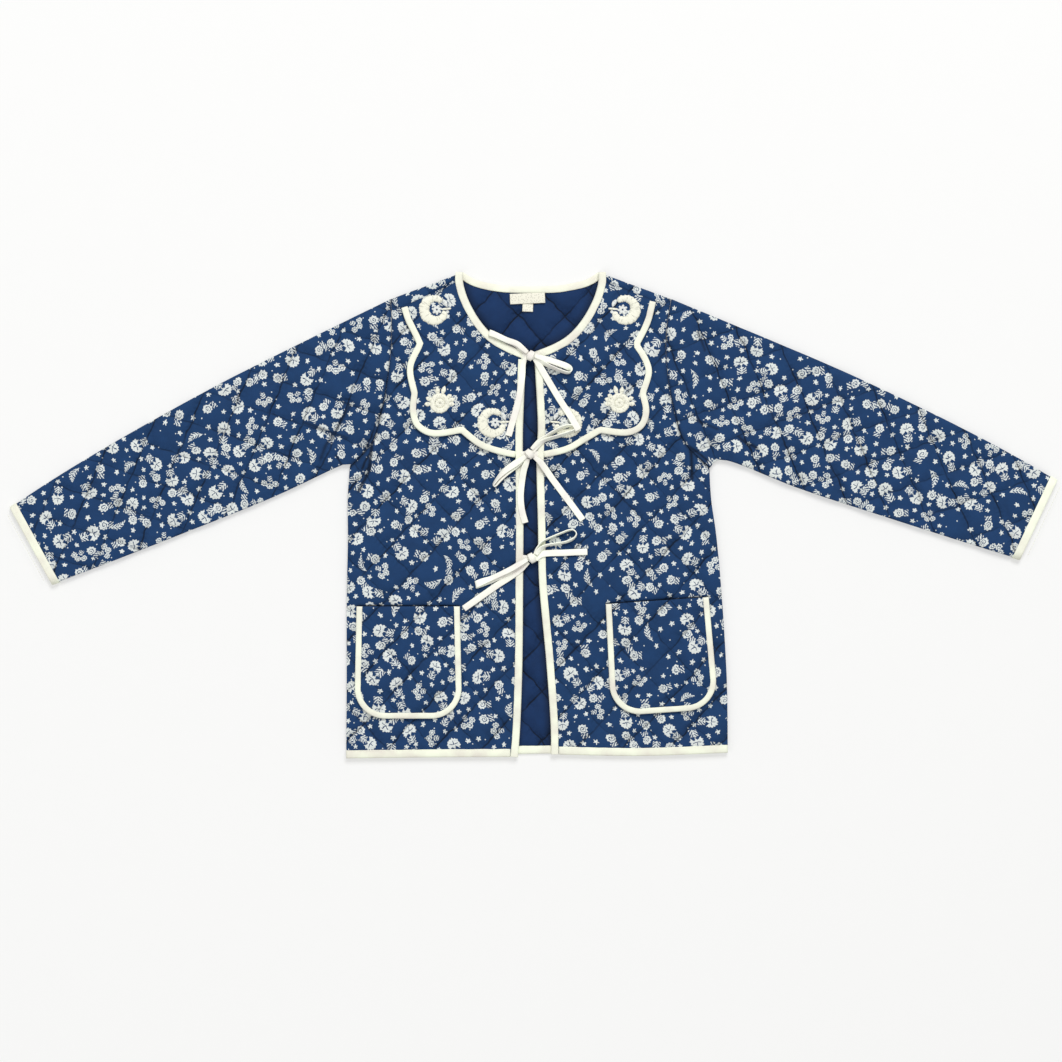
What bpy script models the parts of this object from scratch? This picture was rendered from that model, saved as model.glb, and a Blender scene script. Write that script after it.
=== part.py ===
"""Child's quilted jacket laid flat and open down the front, tied with three bows.

The back lies on the surface, the two fronts lie on the back, and the collar halves and patch
pockets lie on the fronts. Each sleeve is a flattened tube. Every raw edge is folded into a binding.
+X is the viewer's right, +Y points to the neck and +Z is up. Sizes below are millimetres.
"""

import math

import bmesh
import bpy
from mathutils import Matrix, Vector

MM = 0.001
LEFT, RIGHT = -1, 1
SIDES = {LEFT: "left", RIGHT: "right"}

# Cloth, gaps and the height of each layer
GAP = 0.3
BACK_TOP = 3.2
BACK_STITCHED = 2.2
FRONT_BOTTOM = 3.6
FRONT_TOP = 5.8
OVER_BOTTOM = 7.3
OVER_TOP = 9.2
PUFF = 1.1
OVER_PUFF = 0.9
EDGE_ZONE = 7.5
EDGE_RAMP = 4.0
SEAM_DIP = 0.9
COLLAR_DIP = 0.3
FOLD_DROP = 1.1

# Quilting: diamonds with upright diagonals, stitched on their sides
DIAMOND_WIDE = 47.0
DIAMOND_TALL = 50.0
QUILT_AT = (-5.0, 216.0)
VALLEY = 0.25

# Bindings: a strip folded over the edge, with a lip on each face of the cloth
STRIP = 0.7
FOLD_ROUND = 0.4
BACK_LIPS = (0.0, 0.7, 2.5, 3.2)
FRONT_LIPS = (3.5, 4.2, 6.1, 6.8)
NECK_LIPS = (3.5, 4.2, 9.5, 10.2)
OVER_LIPS = (7.2, 7.9, 9.5, 10.2)
BACK_LIFT = 1.0
FRONT_LIFT = 0.9
OVER_LIFT = 0.9
EDGE_LIP = 6.4
NECK_LIP = 6.6
BACK_NECK_LIP = 6.0
HEM_LIP = 7.0
SCALLOP_LIP = 5.4
POCKET_LIP = 4.8
CUFF_LIP = 7.0

# Neck: distance out from its middle line, and height
NECK_MIDDLE = -2.8
FRONT_NECK = ((24.0, 170.0), (39.0, 179.5), (52.5, 195.0), (63.0, 214.0), (68.3, 231.0), (68.3, 242.0))
BACK_NECK = ((0.0, 227.5), (20.0, 228.0), (36.0, 229.7), (55.0, 234.2), (68.3, 242.0))

# Edges of the body: height, left edge, right edge
FRONT_EDGE = (
    (162.0, -8.5, 1.5),
    (92.0, -11.3, 5.2),
    (57.0, -11.5, 3.8),
    (-10.0, -11.0, 5.4),
    (-68.0, -11.4, 6.6),
    (-144.0, -12.0, 13.5),
    (-206.0, -14.0, 17.9),
    (-240.0, -16.3, 18.5),
)
ARMHOLE = (
    (215.5, -142.5, 137.5),
    (183.0, -141.5, 132.5),
    (143.0, -144.5, 133.5),
    (104.0, -151.5, 140.5),
    (72.0, -161.5, 151.0),
    (47.0, -183.5, 175.5),
)
SIDE_EDGE = (
    (47.0, -183.5, 175.5),
    (15.0, -185.5, 177.5),
    (-25.0, -185.3, 183.0),
    (-88.0, -186.5, 188.5),
    (-165.0, -186.5, 193.0),
    (-237.0, -187.0, 194.0),
)
# Hem height at the side, halfway and at the front edge
HEM = {LEFT: (-242.0, -241.0, -240.6), RIGHT: (-236.4, -239.6, -238.0)}
BACK_HEM = {LEFT: -239.0, RIGHT: -234.8}
BACK_HEM_MIDDLE = -237.6

# Sleeves: angle below level, length, and sections from the shoulder down
SLEEVE_ANGLE = {LEFT: 28.75, RIGHT: 25.2}
SLEEVE_LENGTH = {LEFT: 432.6, RIGHT: 424.7}
# Share of the length, rise of the upper fold, drop of the lower fold
SLEEVE_SECTIONS = (
    (0.28, 5.5, 122.0),
    (0.465, 8.0, 116.5),
    (0.695, 7.5, 104.5),
    (0.875, 4.5, 94.5),
    (1.0, 0.0, 87.0),
)
SLEEVE_FLOOR = 2.6
SLEEVE_CEILING = 3.5
SLEEVE_SLOT_INSET = 4.0
SLEEVE_SLOT_PAST = 12.0
SLEEVE_FOLD_LOW = 1.2
SLEEVE_FOLD_HIGH = 5.0
CUFF_WALL_DEPTH = 1.5

# Collar: scalloped edge, a row of points for each lobe, from the shoulder seam to the front edge
COLLAR_FOOT = 57.0
SCALLOPS = {
    LEFT: (
        ((-131.2, 207.6), (-127.0, 194.5), (-120.6, 181.5), (-115.4, 170.5)),
        ((-115.4, 170.5), (-119.6, 162.6), (-124.6, 151.0), (-125.0, 139.0), (-120.8, 121.0)),
        ((-120.8, 121.0), (-122.4, 104.0), (-117.0, 88.0), (-100.0, 79.2), (-72.2, 82.6)),
        ((-72.2, 82.6), (-54.0, 68.6), (-33.5, 61.2), (-11.5, COLLAR_FOOT)),
    ),
    RIGHT: (
        ((121.4, 213.4), (117.2, 196.0), (113.2, 185.5), (105.0, 170.0)),
        ((105.0, 170.0), (113.6, 156.0), (117.2, 141.5), (111.2, 121.5)),
        ((111.2, 121.5), (114.6, 103.0), (109.0, 87.6), (93.0, 80.0), (66.6, 82.6)),
        ((66.6, 82.6), (53.0, 74.4), (32.5, 63.2), (3.8, COLLAR_FOOT)),
    ),
}
SCALLOP_RUN_OFF = 5.0
SHOULDER_SEAM = 7.0

# Largest folds, slack cloth round the underarms: both ends, half width, rise
FOLDS = {
    ("front", LEFT): (((-146.0, 104.0), (-168.0, 14.0), 9.0, 1.6),),
    ("front", RIGHT): (((143.0, 84.0), (160.0, 24.0), 9.0, 1.6),),
    ("sleeve", LEFT): (
        ((-163.0, 112.0), (-199.0, 66.0), 9.0, 1.8),
        ((-192.0, 120.0), (-226.0, 78.0), 8.0, 1.0),
    ),
    ("sleeve", RIGHT): (
        ((158.0, 104.0), (195.0, 66.0), 9.0, 1.8),
        ((182.0, 116.0), (222.0, 82.0), 8.0, 1.0),
    ),
}
FOLD_NEAR = 26.0

# Patch pockets: middle of the mouth, turn in degrees
POCKET = {LEFT: (-125.0, -91.2, 0.0), RIGHT: (123.4, -85.4, 3.9)}
POCKET_MOUTH = 101.0
POCKET_BELLY = 104.5
POCKET_DEEP = 111.0
POCKET_CORNER = 29.0
POCKET_GAPE = 1.5

# Neck label and size tab, both bare
LABEL = (-6.1, 215.8, 35.0, 11.0)
SIZE_TAB = (-6.1, 205.4, 10.6, 9.0)
LABEL_THICK = 0.6

# Ties: a flat strip, pinched where it leaves the knot
TIE_WIDE = 6.5
TIE_THICK = 1.4
TIE_PINCH = 0.5
TIE_PINCH_RUN = 7.0
# Knots: middle, and height of the cloth under them. Half sizes of the lump.
KNOTS = ((-2.8, 158.6, 10.2), (-4.0, 60.7, 10.2), (-1.7, -43.0, 6.9))
KNOT_HALF = (5.5, 4.9, 3.7)
# Straps from a knot to the bindings: distance out, height above the cloth
STRAP_SECTIONS = ((0.0, 2.0), (3.0, 1.8), (6.5, 1.2), (9.0, 1.0), (13.5, 1.0))
# Loops, by bow and side: angle, reach, spread, height of the cloth at the far end, roll
LOOPS = (
    {LEFT: (152.6, 47.0, 2.2, 10.2, 12.0), RIGHT: (-20.3, 43.0, 2.0, 10.2, 25.0)},
    {LEFT: (222.0, 46.5, 1.6, 6.9, 38.0), RIGHT: (24.8, 55.0, 2.6, 10.2, 40.0)},
    {LEFT: (205.4, 60.5, 1.8, 6.9, 8.0), RIGHT: (28.7, 51.0, -3.6, 6.9, 72.0)},
)
# Tails, by bow and side: angle, length, bow to the side, height of the cloth at the far end
TAILS = (
    {LEFT: (255.0, 84.0, 2.5, 10.2), RIGHT: (-57.3, 82.0, 0.0, 10.2)},
    {LEFT: (266.6, 68.0, -4.0, 6.9), RIGHT: (-51.2, 84.0, 0.0, 6.9)},
    {LEFT: (216.0, 85.0, 2.0, 6.9), RIGHT: (7.0, 55.6, 1.0, 6.9)},
)
# Share of a loop's reach past the knot, share of its spread, rise above its lying height
LOOP_SECTIONS = (
    (0.0, -0.3, 1.9),
    (0.14, -0.6, 1.6),
    (0.40, -0.9, 0.2),
    (0.70, -1.0, 0.0),
    (0.90, -0.7, 0.1),
    (0.985, -0.25, 0.9),
    (1.0, 0.2, 2.3),
    (0.95, 0.7, 3.4),
    (0.72, 1.0, 3.9),
    (0.42, 0.9, 3.7),
    (0.14, 0.6, 3.7),
    (0.0, 0.3, 3.8),
)
LOOP_LYING = 2.8
# Share of a tail's length past the knot, share of its bow, height above the cloth
TAIL_SECTIONS = (
    (0.0, 0.0, 3.0),
    (0.10, 0.3, 2.9),
    (0.30, 0.8, 1.5),
    (0.55, 1.0, 1.1),
    (0.78, 0.6, 1.1),
    (1.0, 0.0, 1.1),
)

COLOURS = {
    "printed_cotton": ("1f3f6d", 0.85),
    "lining_cotton": ("1b3a69", 0.85),
    "ivory_binding": ("efecdc", 0.8),
    "ivory_tie": ("f3f0e2", 0.75),
    "label_tape": ("e9e6dc", 0.7),
}


def clear_scene():
    for item in list(bpy.data.objects):
        bpy.data.objects.remove(item)


def linear(channel):
    value = channel / 255.0
    return value / 12.92 if value <= 0.04045 else ((value + 0.055) / 1.055) ** 2.4


def make_materials():
    made = {}
    for name, (colour, rough) in COLOURS.items():
        material = bpy.data.materials.new(name)
        material.use_nodes = True
        shader = material.node_tree.nodes["Principled BSDF"]
        rgb = [linear(int(colour[i : i + 2], 16)) for i in (0, 2, 4)]
        shader.inputs["Base Color"].default_value = (*rgb, 1.0)
        shader.inputs["Roughness"].default_value = rough
        shader.inputs["Metallic"].default_value = 0.0
        made[name] = material
    return made


# Plane curves

def smooth(points, step):
    """Points about step apart on a smooth curve through the given ones."""
    line = []
    last = len(points) - 1
    for i in range(last):
        before = points[max(i - 1, 0)]
        start, end = points[i], points[i + 1]
        after = points[min(i + 2, last)]
        count = max(1, round(math.dist(start, end) / step))
        values = list(zip(before, start, end, after))
        for k in range(count):
            line.append(tuple(cubic(*four, k / count) for four in values))
    line.append(tuple(points[-1]))
    return line


def cubic(before, start, end, after, share):
    """One coordinate of a curve through start and end, aimed by the points on either side."""
    pull = end - before
    push = after - start
    rest = 1.0 - share
    hermite = start * (1 + 2 * share) * rest**2 + end * (3 - 2 * share) * share**2
    return hermite + 0.5 * share * rest * (pull * rest - push * share)


def arc(start, end, bulge, step):
    """Points on a circular arc from start to end that stands bulge to the left of the straight line."""
    chord = math.dist(start, end)
    if abs(bulge) < 1e-6:
        return [start, end]
    half_turn = 2.0 * math.atan(2.0 * bulge / chord)
    radius = chord / (2.0 * math.sin(half_turn))
    heading = math.atan2(end[1] - start[1], end[0] - start[0]) + half_turn
    count = max(2, round(abs(2.0 * half_turn * radius) / step))
    middle = (start[0] + radius * math.sin(heading), start[1] - radius * math.cos(heading))
    turned = [heading - 2.0 * half_turn * k / count for k in range(count + 1)]
    return [(middle[0] - radius * math.sin(t), middle[1] + radius * math.cos(t)) for t in turned]


def joined(*stretches):
    """One open line from stretches that meet end to end."""
    line = list(stretches[0])
    for stretch in stretches[1:]:
        line.extend(stretch[1:] if math.dist(line[-1], stretch[0]) < 0.5 else stretch)
    return line


def closed(line):
    return line[:-1] if math.dist(line[0], line[-1]) < 0.5 else line


def away(x, y, lines):
    """Distance from a point to the nearest of some lines."""
    best = 1e9
    for line in lines:
        for (ax, ay), (bx, by) in zip(line, line[1:]):
            run = (bx - ax) ** 2 + (by - ay) ** 2
            share = max(0.0, min(1.0, ((x - ax) * (bx - ax) + (y - ay) * (by - ay)) / run))
            best = min(best, math.hypot(ax + share * (bx - ax) - x, ay + share * (by - ay) - y))
    return best


def trimmed(line, start=0.0, end=0.0):
    """The line without its first and last few millimetres."""
    for cut, reverse in ((start, False), (end, True)):
        if reverse:
            line = line[::-1]
        left = cut
        while left > 0:
            step = math.dist(line[0], line[1])
            if step > left:
                share = left / step
                line = [tuple(a + share * (b - a) for a, b in zip(line[0], line[1]))] + line[1:]
                left = 0
            else:
                line = line[1:]
                left -= step
        if reverse:
            line = line[::-1]
    return line


# The pattern pieces' edges, each running the way the left piece is cut, anticlockwise

def column(table, side):
    return [(row[1] if side == LEFT else row[2], row[0]) for row in table]


def shoulder_point(side):
    return column(ARMHOLE, side)[0]


def neck_tip(side):
    out, height = FRONT_NECK[-1]
    return (NECK_MIDDLE + side * out, height)


def front_edges(side):
    """Named edges of one front, from the hem up the front edge and round."""
    front = smooth(column(FRONT_EDGE, side), 34.0)[::-1]
    side_height, halfway, front_height = HEM[side]
    front[0] = (front[0][0], front_height)
    neck = smooth([front[-1]] + [(NECK_MIDDLE + side * out, height) for out, height in FRONT_NECK], 11.0)
    side_line = smooth(column(SIDE_EDGE, side), 45.0)
    side_line[-1] = (side_line[-1][0], side_height)
    middle = ((side_line[-1][0] + front[0][0]) / 2.0, halfway)
    return {
        "front": front,
        "neck": neck,
        "shoulder": [neck[-1], shoulder_point(side)],
        "armhole": smooth(column(ARMHOLE, side), 16.0),
        "side": side_line,
        "hem": smooth([side_line[-1], middle, front[0]], 50.0),
    }


def back_edges():
    """Named edges of the back, from the right side of the neck round to the left and down."""
    neck_half = [(out, height) for out, height in BACK_NECK]
    across = [(NECK_MIDDLE + out, height) for out, height in neck_half[::-1]]
    across += [(NECK_MIDDLE - out, height) for out, height in neck_half[1:]]
    edges = {"neck": smooth(across, 12.0)}
    for side in SIDES:
        armhole = smooth(column(ARMHOLE, side), 16.0)
        side_line = smooth(column(SIDE_EDGE, side), 45.0)
        side_line[-1] = (side_line[-1][0], BACK_HEM[side])
        edges["shoulder", side] = [neck_tip(side), shoulder_point(side)]
        edges["armhole", side] = armhole
        edges["side", side] = side_line
    left_end, right_end = edges["side", LEFT][-1], edges["side", RIGHT][-1]
    edges["hem"] = smooth([left_end, (0.0, BACK_HEM_MIDDLE), right_end], 60.0)
    return edges


def sleeve_place(side, along, drop):
    """A point of the sleeve, from how far it lies along the upper fold's line and below it."""
    angle = math.radians(SLEEVE_ANGLE[side])
    top_x, top_y = shoulder_point(side)
    across = (side * math.cos(angle), -math.sin(angle))
    down = (-side * math.sin(angle), -math.cos(angle))
    return (
        top_x + side * GAP + across[0] * along + down[0] * drop,
        top_y + across[1] * along + down[1] * drop,
    )


def sleeve_edges(side, inset=0.0, past=0.0):
    """Named edges of a sleeve. An inset and a run past the ends give the outline of its hollow."""
    length = SLEEVE_LENGTH[side]
    upper = [sleeve_place(side, -past, inset)] if past else [sleeve_place(side, 0.0, 0.0)]
    upper += [sleeve_place(side, share * length, inset - rise) for share, rise, _ in SLEEVE_SECTIONS]
    lower = [sleeve_place(side, share * length, drop - inset) for share, _, drop in SLEEVE_SECTIONS[::-1]]
    armhole = [(x + side * (GAP - past), y) for x, y in smooth(column(ARMHOLE, side), 16.0)][::-1]
    if past:
        upper.append(sleeve_place(side, length + past, inset))
        lower.insert(0, sleeve_place(side, length + past, SLEEVE_SECTIONS[-1][2] - inset))
        armhole = [(x, y + inset * 2.0) for x, y in armhole[:2]] + armhole[2:-2]
    lower.append(armhole[0])
    return {
        "upper": smooth(upper, 40.0),
        "cuff": [upper[-1], lower[0]],
        "lower": smooth(lower, 40.0),
        "armhole": armhole,
    }


def collar_edges(side):
    """Named edges of one half of the collar, over the front."""
    front = front_edges(side)
    scallop = joined(*[smooth(lobe, 8.0) for lobe in SCALLOPS[side]])
    start, foot = scallop[0], COLLAR_FOOT
    edge = [point for point in front["front"] if point[1] > foot + 5.0]
    lowest = front_edge_at(side, foot)
    scallop[-1] = lowest
    neck = trimmed(front["neck"], end=SHOULDER_SEAM)
    return {"front": [lowest] + edge, "neck": neck, "shoulder": [neck[-1], start], "scallop": scallop}


def front_edge_at(side, height):
    """The point of a front's edge at some height."""
    line = front_edges(side)["front"]
    for (ax, ay), (bx, by) in zip(line, line[1:]):
        if ay <= height <= by:
            return (ax + (bx - ax) * (height - ay) / (by - ay), height)
    return line[0]


def pocket_place(side, across, down):
    """A point of a pocket, from the middle of its mouth."""
    middle_x, middle_y, turn = POCKET[side]
    angle = math.radians(turn)
    return (
        middle_x + across * math.cos(angle) + down * math.sin(angle),
        middle_y + across * math.sin(angle) - down * math.cos(angle),
    )


def pocket_edges(side):
    """The bound sides and bottom of a pocket, from its upper left corner round, and its mouth."""
    mouth, belly = POCKET_MOUTH / 2.0, POCKET_BELLY / 2.0
    shoulder = POCKET_DEEP - POCKET_CORNER
    bulge = -POCKET_CORNER * (1.0 - math.sqrt(0.5))
    flat = belly - POCKET_CORNER
    corners = [(-mouth, 0.0), (-belly, shoulder), (-flat, POCKET_DEEP)]
    corners += [(-x, y) for x, y in corners[::-1]]
    a, b, c, d, e, f = [pocket_place(side, x, y) for x, y in corners]
    bound = joined([a, b], arc(b, c, bulge, 9.0), [c, d], arc(d, e, bulge, 9.0), [e, f])
    return {"bound": bound, "mouth": [f, a]}


# Quilting

def body_lattice(x, y):
    """Where a point lies between the two families of stitched lines, in diamonds."""
    across = (x - QUILT_AT[0]) / DIAMOND_WIDE
    up = (y - QUILT_AT[1]) / DIAMOND_TALL
    return across + up, across - up


def sleeve_lattice(side):
    angle = math.radians(SLEEVE_ANGLE[side])
    top_x, top_y = shoulder_point(side)

    def lattice(x, y):
        along = side * (x - top_x) * math.cos(angle) - (y - top_y) * math.sin(angle)
        down = -side * (x - top_x) * math.sin(angle) - (y - top_y) * math.cos(angle)
        return along / DIAMOND_WIDE + down / DIAMOND_TALL, along / DIAMOND_WIDE - down / DIAMOND_TALL

    return lattice


def pillow(lattice, x, y):
    """Share of the full puff at a point: none on the stitching, all across a diamond's middle."""
    share = 1.0
    for value in lattice(x, y):
        part = value - math.floor(value)
        share *= min(1.0, min(part, 1.0 - part) / VALLEY)
    return share


def lattice_cuts(lattice, outline):
    """A point and a direction for each line that the quilted surface is cut on."""
    cuts = []
    for family in (0, 1):
        base = lattice(0.0, 0.0)[family]
        grow_x = lattice(1.0, 0.0)[family] - base
        grow_y = lattice(0.0, 1.0)[family] - base
        values = [lattice(x, y)[family] for x, y in outline]
        size = grow_x**2 + grow_y**2
        for whole in range(math.floor(min(values)), math.ceil(max(values)) + 1):
            for part in (0.0, VALLEY, 1.0 - VALLEY):
                share = (whole + part - base) / size
                cuts.append(((grow_x * share, grow_y * share), (grow_x, grow_y)))
    return cuts


# Solids

def place(name, mesh, material):
    made = bpy.data.objects.new(name, mesh)
    mesh.materials.append(MATERIALS[material])
    GARMENT.objects.link(made)
    return made


def mesh_from(bm, name):
    bmesh.ops.recalc_face_normals(bm, faces=bm.faces[:])
    mesh = bpy.data.meshes.new(name)
    bm.to_mesh(mesh)
    bm.free()
    return mesh


def cut_faces(bm, cuts, where=None):
    """Cuts the marked faces along each line."""
    for (x, y), (toward_x, toward_y) in cuts:
        faces = [face for face in bm.faces if face.material_index == 1]
        if where:
            faces = [face for face in faces if where(face.calc_center_median())]
        parts = {edge for face in faces for edge in face.edges}
        points = {vert for face in faces for vert in face.verts}
        bmesh.ops.bisect_plane(
            bm,
            geom=[*points, *parts, *faces],
            dist=1e-7,
            plane_co=(x * MM, y * MM, 0.0),
            plane_no=(toward_x, toward_y, 0.0),
        )


def inset_ring(bm, core, width, reach, rim):
    """A ring of faces inside a face's edge. Points that a corner crowds together are joined."""
    bmesh.ops.inset_region(bm, faces=[core], thickness=width * MM, use_boundary=True, use_even_offset=True)
    loop = core.verts[:]
    kept = [vert for vert in loop if away(vert.co.x / MM, vert.co.y / MM, [rim]) > 0.96 * reach]
    joins = {}
    for vert in loop:
        if vert not in kept:
            joins[vert] = min(kept, key=lambda other: (other.co - vert.co).length)
    bmesh.ops.weld_verts(bm, targetmap=joins)
    core = max(bm.faces, key=lambda face: face.calc_area())
    bmesh.ops.remove_doubles(bm, verts=core.verts[:], dist=MM)
    return max(bm.faces, key=lambda face: face.calc_area())


def fold_rise(folds, x, y):
    """How far the folds lift the cloth at a point."""
    rise = 0.0
    for start, end, half, most in folds:
        rise = max(rise, most * (1.0 - away(x, y, [[start, end]]) / half))
    return rise


def cut_folds(bm, folds):
    """Cuts the marked faces along each fold's crest and both its feet."""
    for start, end, half, _ in folds:
        way = (end[0] - start[0], end[1] - start[1])
        size = math.hypot(*way)
        aside = (-way[1] / size, way[0] / size)
        feet = [(start[0] + aside[0] * off, start[1] + aside[1] * off) for off in (-half, 0.0, half)]

        def near(point, line=(start, end)):
            return away(point.x / MM, point.y / MM, [line]) < FOLD_NEAR

        cut_faces(bm, [(foot, aside) for foot in feet], near)


def panel(name, outline, heights, cuts, material, first_cuts=(), where=None, folds=()):
    """A cloth wall: its outline, two rings that follow the edge, and a top cut on the quilting lines.

    heights gives the bottom and the top of the wall at a point.
    """
    bm = bmesh.new()
    core = bm.faces.new([bm.verts.new((x * MM, y * MM, 0.0)) for x, y in outline])
    core.normal_update()
    rim = [*outline, outline[0]]
    for width, reach in ((EDGE_ZONE, EDGE_ZONE), (EDGE_RAMP, EDGE_ZONE + EDGE_RAMP)):
        core = inset_ring(bm, core, width, reach, rim)
    under = set(bm.verts)
    made = bmesh.ops.extrude_face_region(bm, geom=bm.faces[:], use_keep_orig=True)
    risen = [item for item in made["geom"] if isinstance(item, bmesh.types.BMFace)]
    bmesh.ops.translate(bm, vec=(0.0, 0.0, MM), verts=[v for v in bm.verts if v not in under])
    max(risen, key=lambda face: face.calc_area()).material_index = 1
    cut_faces(bm, first_cuts)
    cut_faces(bm, cuts, where)
    cut_folds(bm, folds)
    for face in bm.faces:
        face.material_index = 0
    for vert in bm.verts:
        low, high = heights(vert.co.x / MM, vert.co.y / MM)
        vert.co.z = (low if vert in under else high) * MM
    return place(name, mesh_from(bm, name), material)


def loft(name, sections, material, ring=False):
    """One body through loops of as many points each, capped at its ends unless it closes in a ring."""
    bm = bmesh.new()
    loops = [[bm.verts.new(Vector(point) * MM) for point in section] for section in sections]
    pairs = list(zip(loops, loops[1:]))
    if ring:
        pairs.append((loops[-1], loops[0]))
    else:
        bm.faces.new(loops[0])
        bm.faces.new(loops[-1])
    for here, there in pairs:
        for i in range(len(here)):
            j = (i + 1) % len(here)
            bm.faces.new((here[i], here[j], there[j], there[i]))
    return place(name, mesh_from(bm, name), material)


def inward(path, i, hand):
    """Direction into the cloth at a point of its edge, lengthened so that a corner keeps its width."""
    before, here, after = path[max(i - 1, 0)], path[i], path[min(i + 1, len(path) - 1)]
    normals = []
    for start, end in ((before, here), (here, after)):
        size = math.dist(start, end)
        if size > 1e-9:
            normals.append((hand * (start[1] - end[1]) / size, hand * (end[0] - start[0]) / size))
    x = sum(n[0] for n in normals) / len(normals)
    y = sum(n[1] for n in normals) / len(normals)
    square = max(x * x + y * y, 0.5)
    return x / square, y / square


def folded_strip(lips, lip):
    """Section of a binding: distance into the cloth from its edge, and height."""
    low, low_inside, high_inside, high = lips
    reach = GAP + STRIP
    return (
        (lip, low),
        (FOLD_ROUND - reach, low),
        (-reach, low + FOLD_ROUND),
        (-reach, high - FOLD_ROUND),
        (FOLD_ROUND - reach, high),
        (lip, high),
        (lip, high_inside),
        (-GAP, high_inside),
        (-GAP, low_inside),
        (lip, low_inside),
    )


def binding(name, path, hand, lips_at, lip):
    """A binding along an edge. lips_at gives its four heights at a point of the path."""
    sections = []
    for i, (x, y) in enumerate(path):
        in_x, in_y = inward(path, i, hand)
        section = folded_strip(lips_at(x, y), lip)
        sections.append([(x + in_x * depth, y + in_y * depth, height) for depth, height in section])
    return loft(name, sections, "ivory_binding")


def edge_ramp(distance):
    """1 inside a binding, falling to 0 where the cloth is back at its own height."""
    return max(0.0, min(1.0, (EDGE_ZONE + EDGE_RAMP - distance) / EDGE_RAMP))


def quilt_fade(distance):
    """0 at the edge rings, 1 a few millimetres further in."""
    return max(0.0, min(1.0, (distance - EDGE_ZONE - EDGE_RAMP - 0.1) / 5.0))


def seam_share(distance):
    return max(0.0, 1.0 - distance / EDGE_ZONE)


def build_back():
    edges = back_edges()
    sides = [edges[kind, side] for kind in ("shoulder", "side") for side in SIDES]
    bound = [edges["neck"], edges["hem"]]
    outline = closed(
        joined(
            edges["neck"],
            edges["shoulder", LEFT],
            edges["armhole", LEFT],
            edges["side", LEFT],
            edges["hem"],
            edges["side", RIGHT][::-1],
            edges["armhole", RIGHT][::-1],
            edges["shoulder", RIGHT][::-1],
        )
    )
    # Only the strip behind the neck and the front opening shows, so only that is quilted.
    strip_left, strip_right = neck_tip(LEFT)[0] + 6.0, neck_tip(RIGHT)[0] - 6.0
    strip_low = min(HEM[LEFT])

    def shown(point):
        return strip_left < point.x / MM < strip_right

    def heights(x, y):
        rim = away(x, y, bound)
        inside = strip_left < x < strip_right and y > strip_low
        puff = BACK_STITCHED + (BACK_TOP - BACK_STITCHED) * pillow(body_lattice, x, y)
        top = puff if inside else BACK_TOP
        if rim < EDGE_ZONE + EDGE_RAMP + 0.1:
            top = BACK_STITCHED
        fold = seam_share(away(x, y, sides))
        return max(BACK_LIFT * edge_ramp(rim), fold), top

    isolate = [((strip_left, 0.0), (1.0, 0.0)), ((strip_right, 0.0), (1.0, 0.0))]
    cuts = lattice_cuts(body_lattice, outline)
    panel("back", outline, heights, cuts, "lining_cotton", isolate, shown)
    binding("neck_binding_back", edges["neck"], 1, lambda x, y: BACK_LIPS, BACK_NECK_LIP)
    binding("hem_binding_back", edges["hem"], 1, lambda x, y: BACK_LIPS, HEM_LIP)


def build_front(side):
    edges = front_edges(side)
    bound = [edges["front"], edges["neck"], edges["hem"]]
    folds = [edges["shoulder"], edges["side"]]
    outline = closed(joined(*edges.values()))
    every = [outline + outline[:1]]

    def heights(x, y):
        low = FRONT_BOTTOM + FRONT_LIFT * edge_ramp(away(x, y, bound))
        high = FRONT_TOP + PUFF * pillow(body_lattice, x, y) * quilt_fade(away(x, y, every))
        high -= SEAM_DIP * seam_share(away(x, y, [edges["armhole"]]))
        high -= FOLD_DROP * seam_share(away(x, y, folds)) * (1.0 - edge_ramp(away(x, y, bound)))
        return low, high + fold_rise(FOLDS["front", side], x, y)

    cuts = lattice_cuts(body_lattice, outline)
    panel(f"front_{SIDES[side]}", outline, heights, cuts, "printed_cotton", folds=FOLDS["front", side])
    build_front_bindings(side, edges)


def build_front_bindings(side, edges):
    word = SIDES[side]
    hand = -side
    collar_foot = COLLAR_FOOT - GAP

    def edge_lips(x, y):
        return NECK_LIPS if y > collar_foot - 2.0 else FRONT_LIPS

    step_down = [front_edge_at(side, collar_foot - drop) for drop in (0.0, 6.0)]
    front = sorted(edges["front"] + step_down, key=lambda point: point[1])
    front = trimmed([point for point in front if point not in edges["front"][-1:]] + edges["front"][-1:])
    front = trimmed(front, end=NECK_LIP + GAP)
    bottom = (front[0][0] + (front[0][0] - front[1][0]) * 0.03, front[0][1] - GAP - STRIP)
    binding(f"edge_binding_{word}", [bottom] + front, hand, edge_lips, EDGE_LIP)
    corner = (edges["neck"][0][0] - side * (GAP + STRIP), edges["neck"][0][1] - 0.3)
    neck = [corner] + edges["neck"]
    binding(f"neck_binding_{word}", neck, hand, lambda x, y: NECK_LIPS, NECK_LIP)
    hem = trimmed(edges["hem"], end=EDGE_LIP + GAP)
    binding(f"hem_binding_{word}", hem, hand, lambda x, y: FRONT_LIPS, HEM_LIP)


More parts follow.
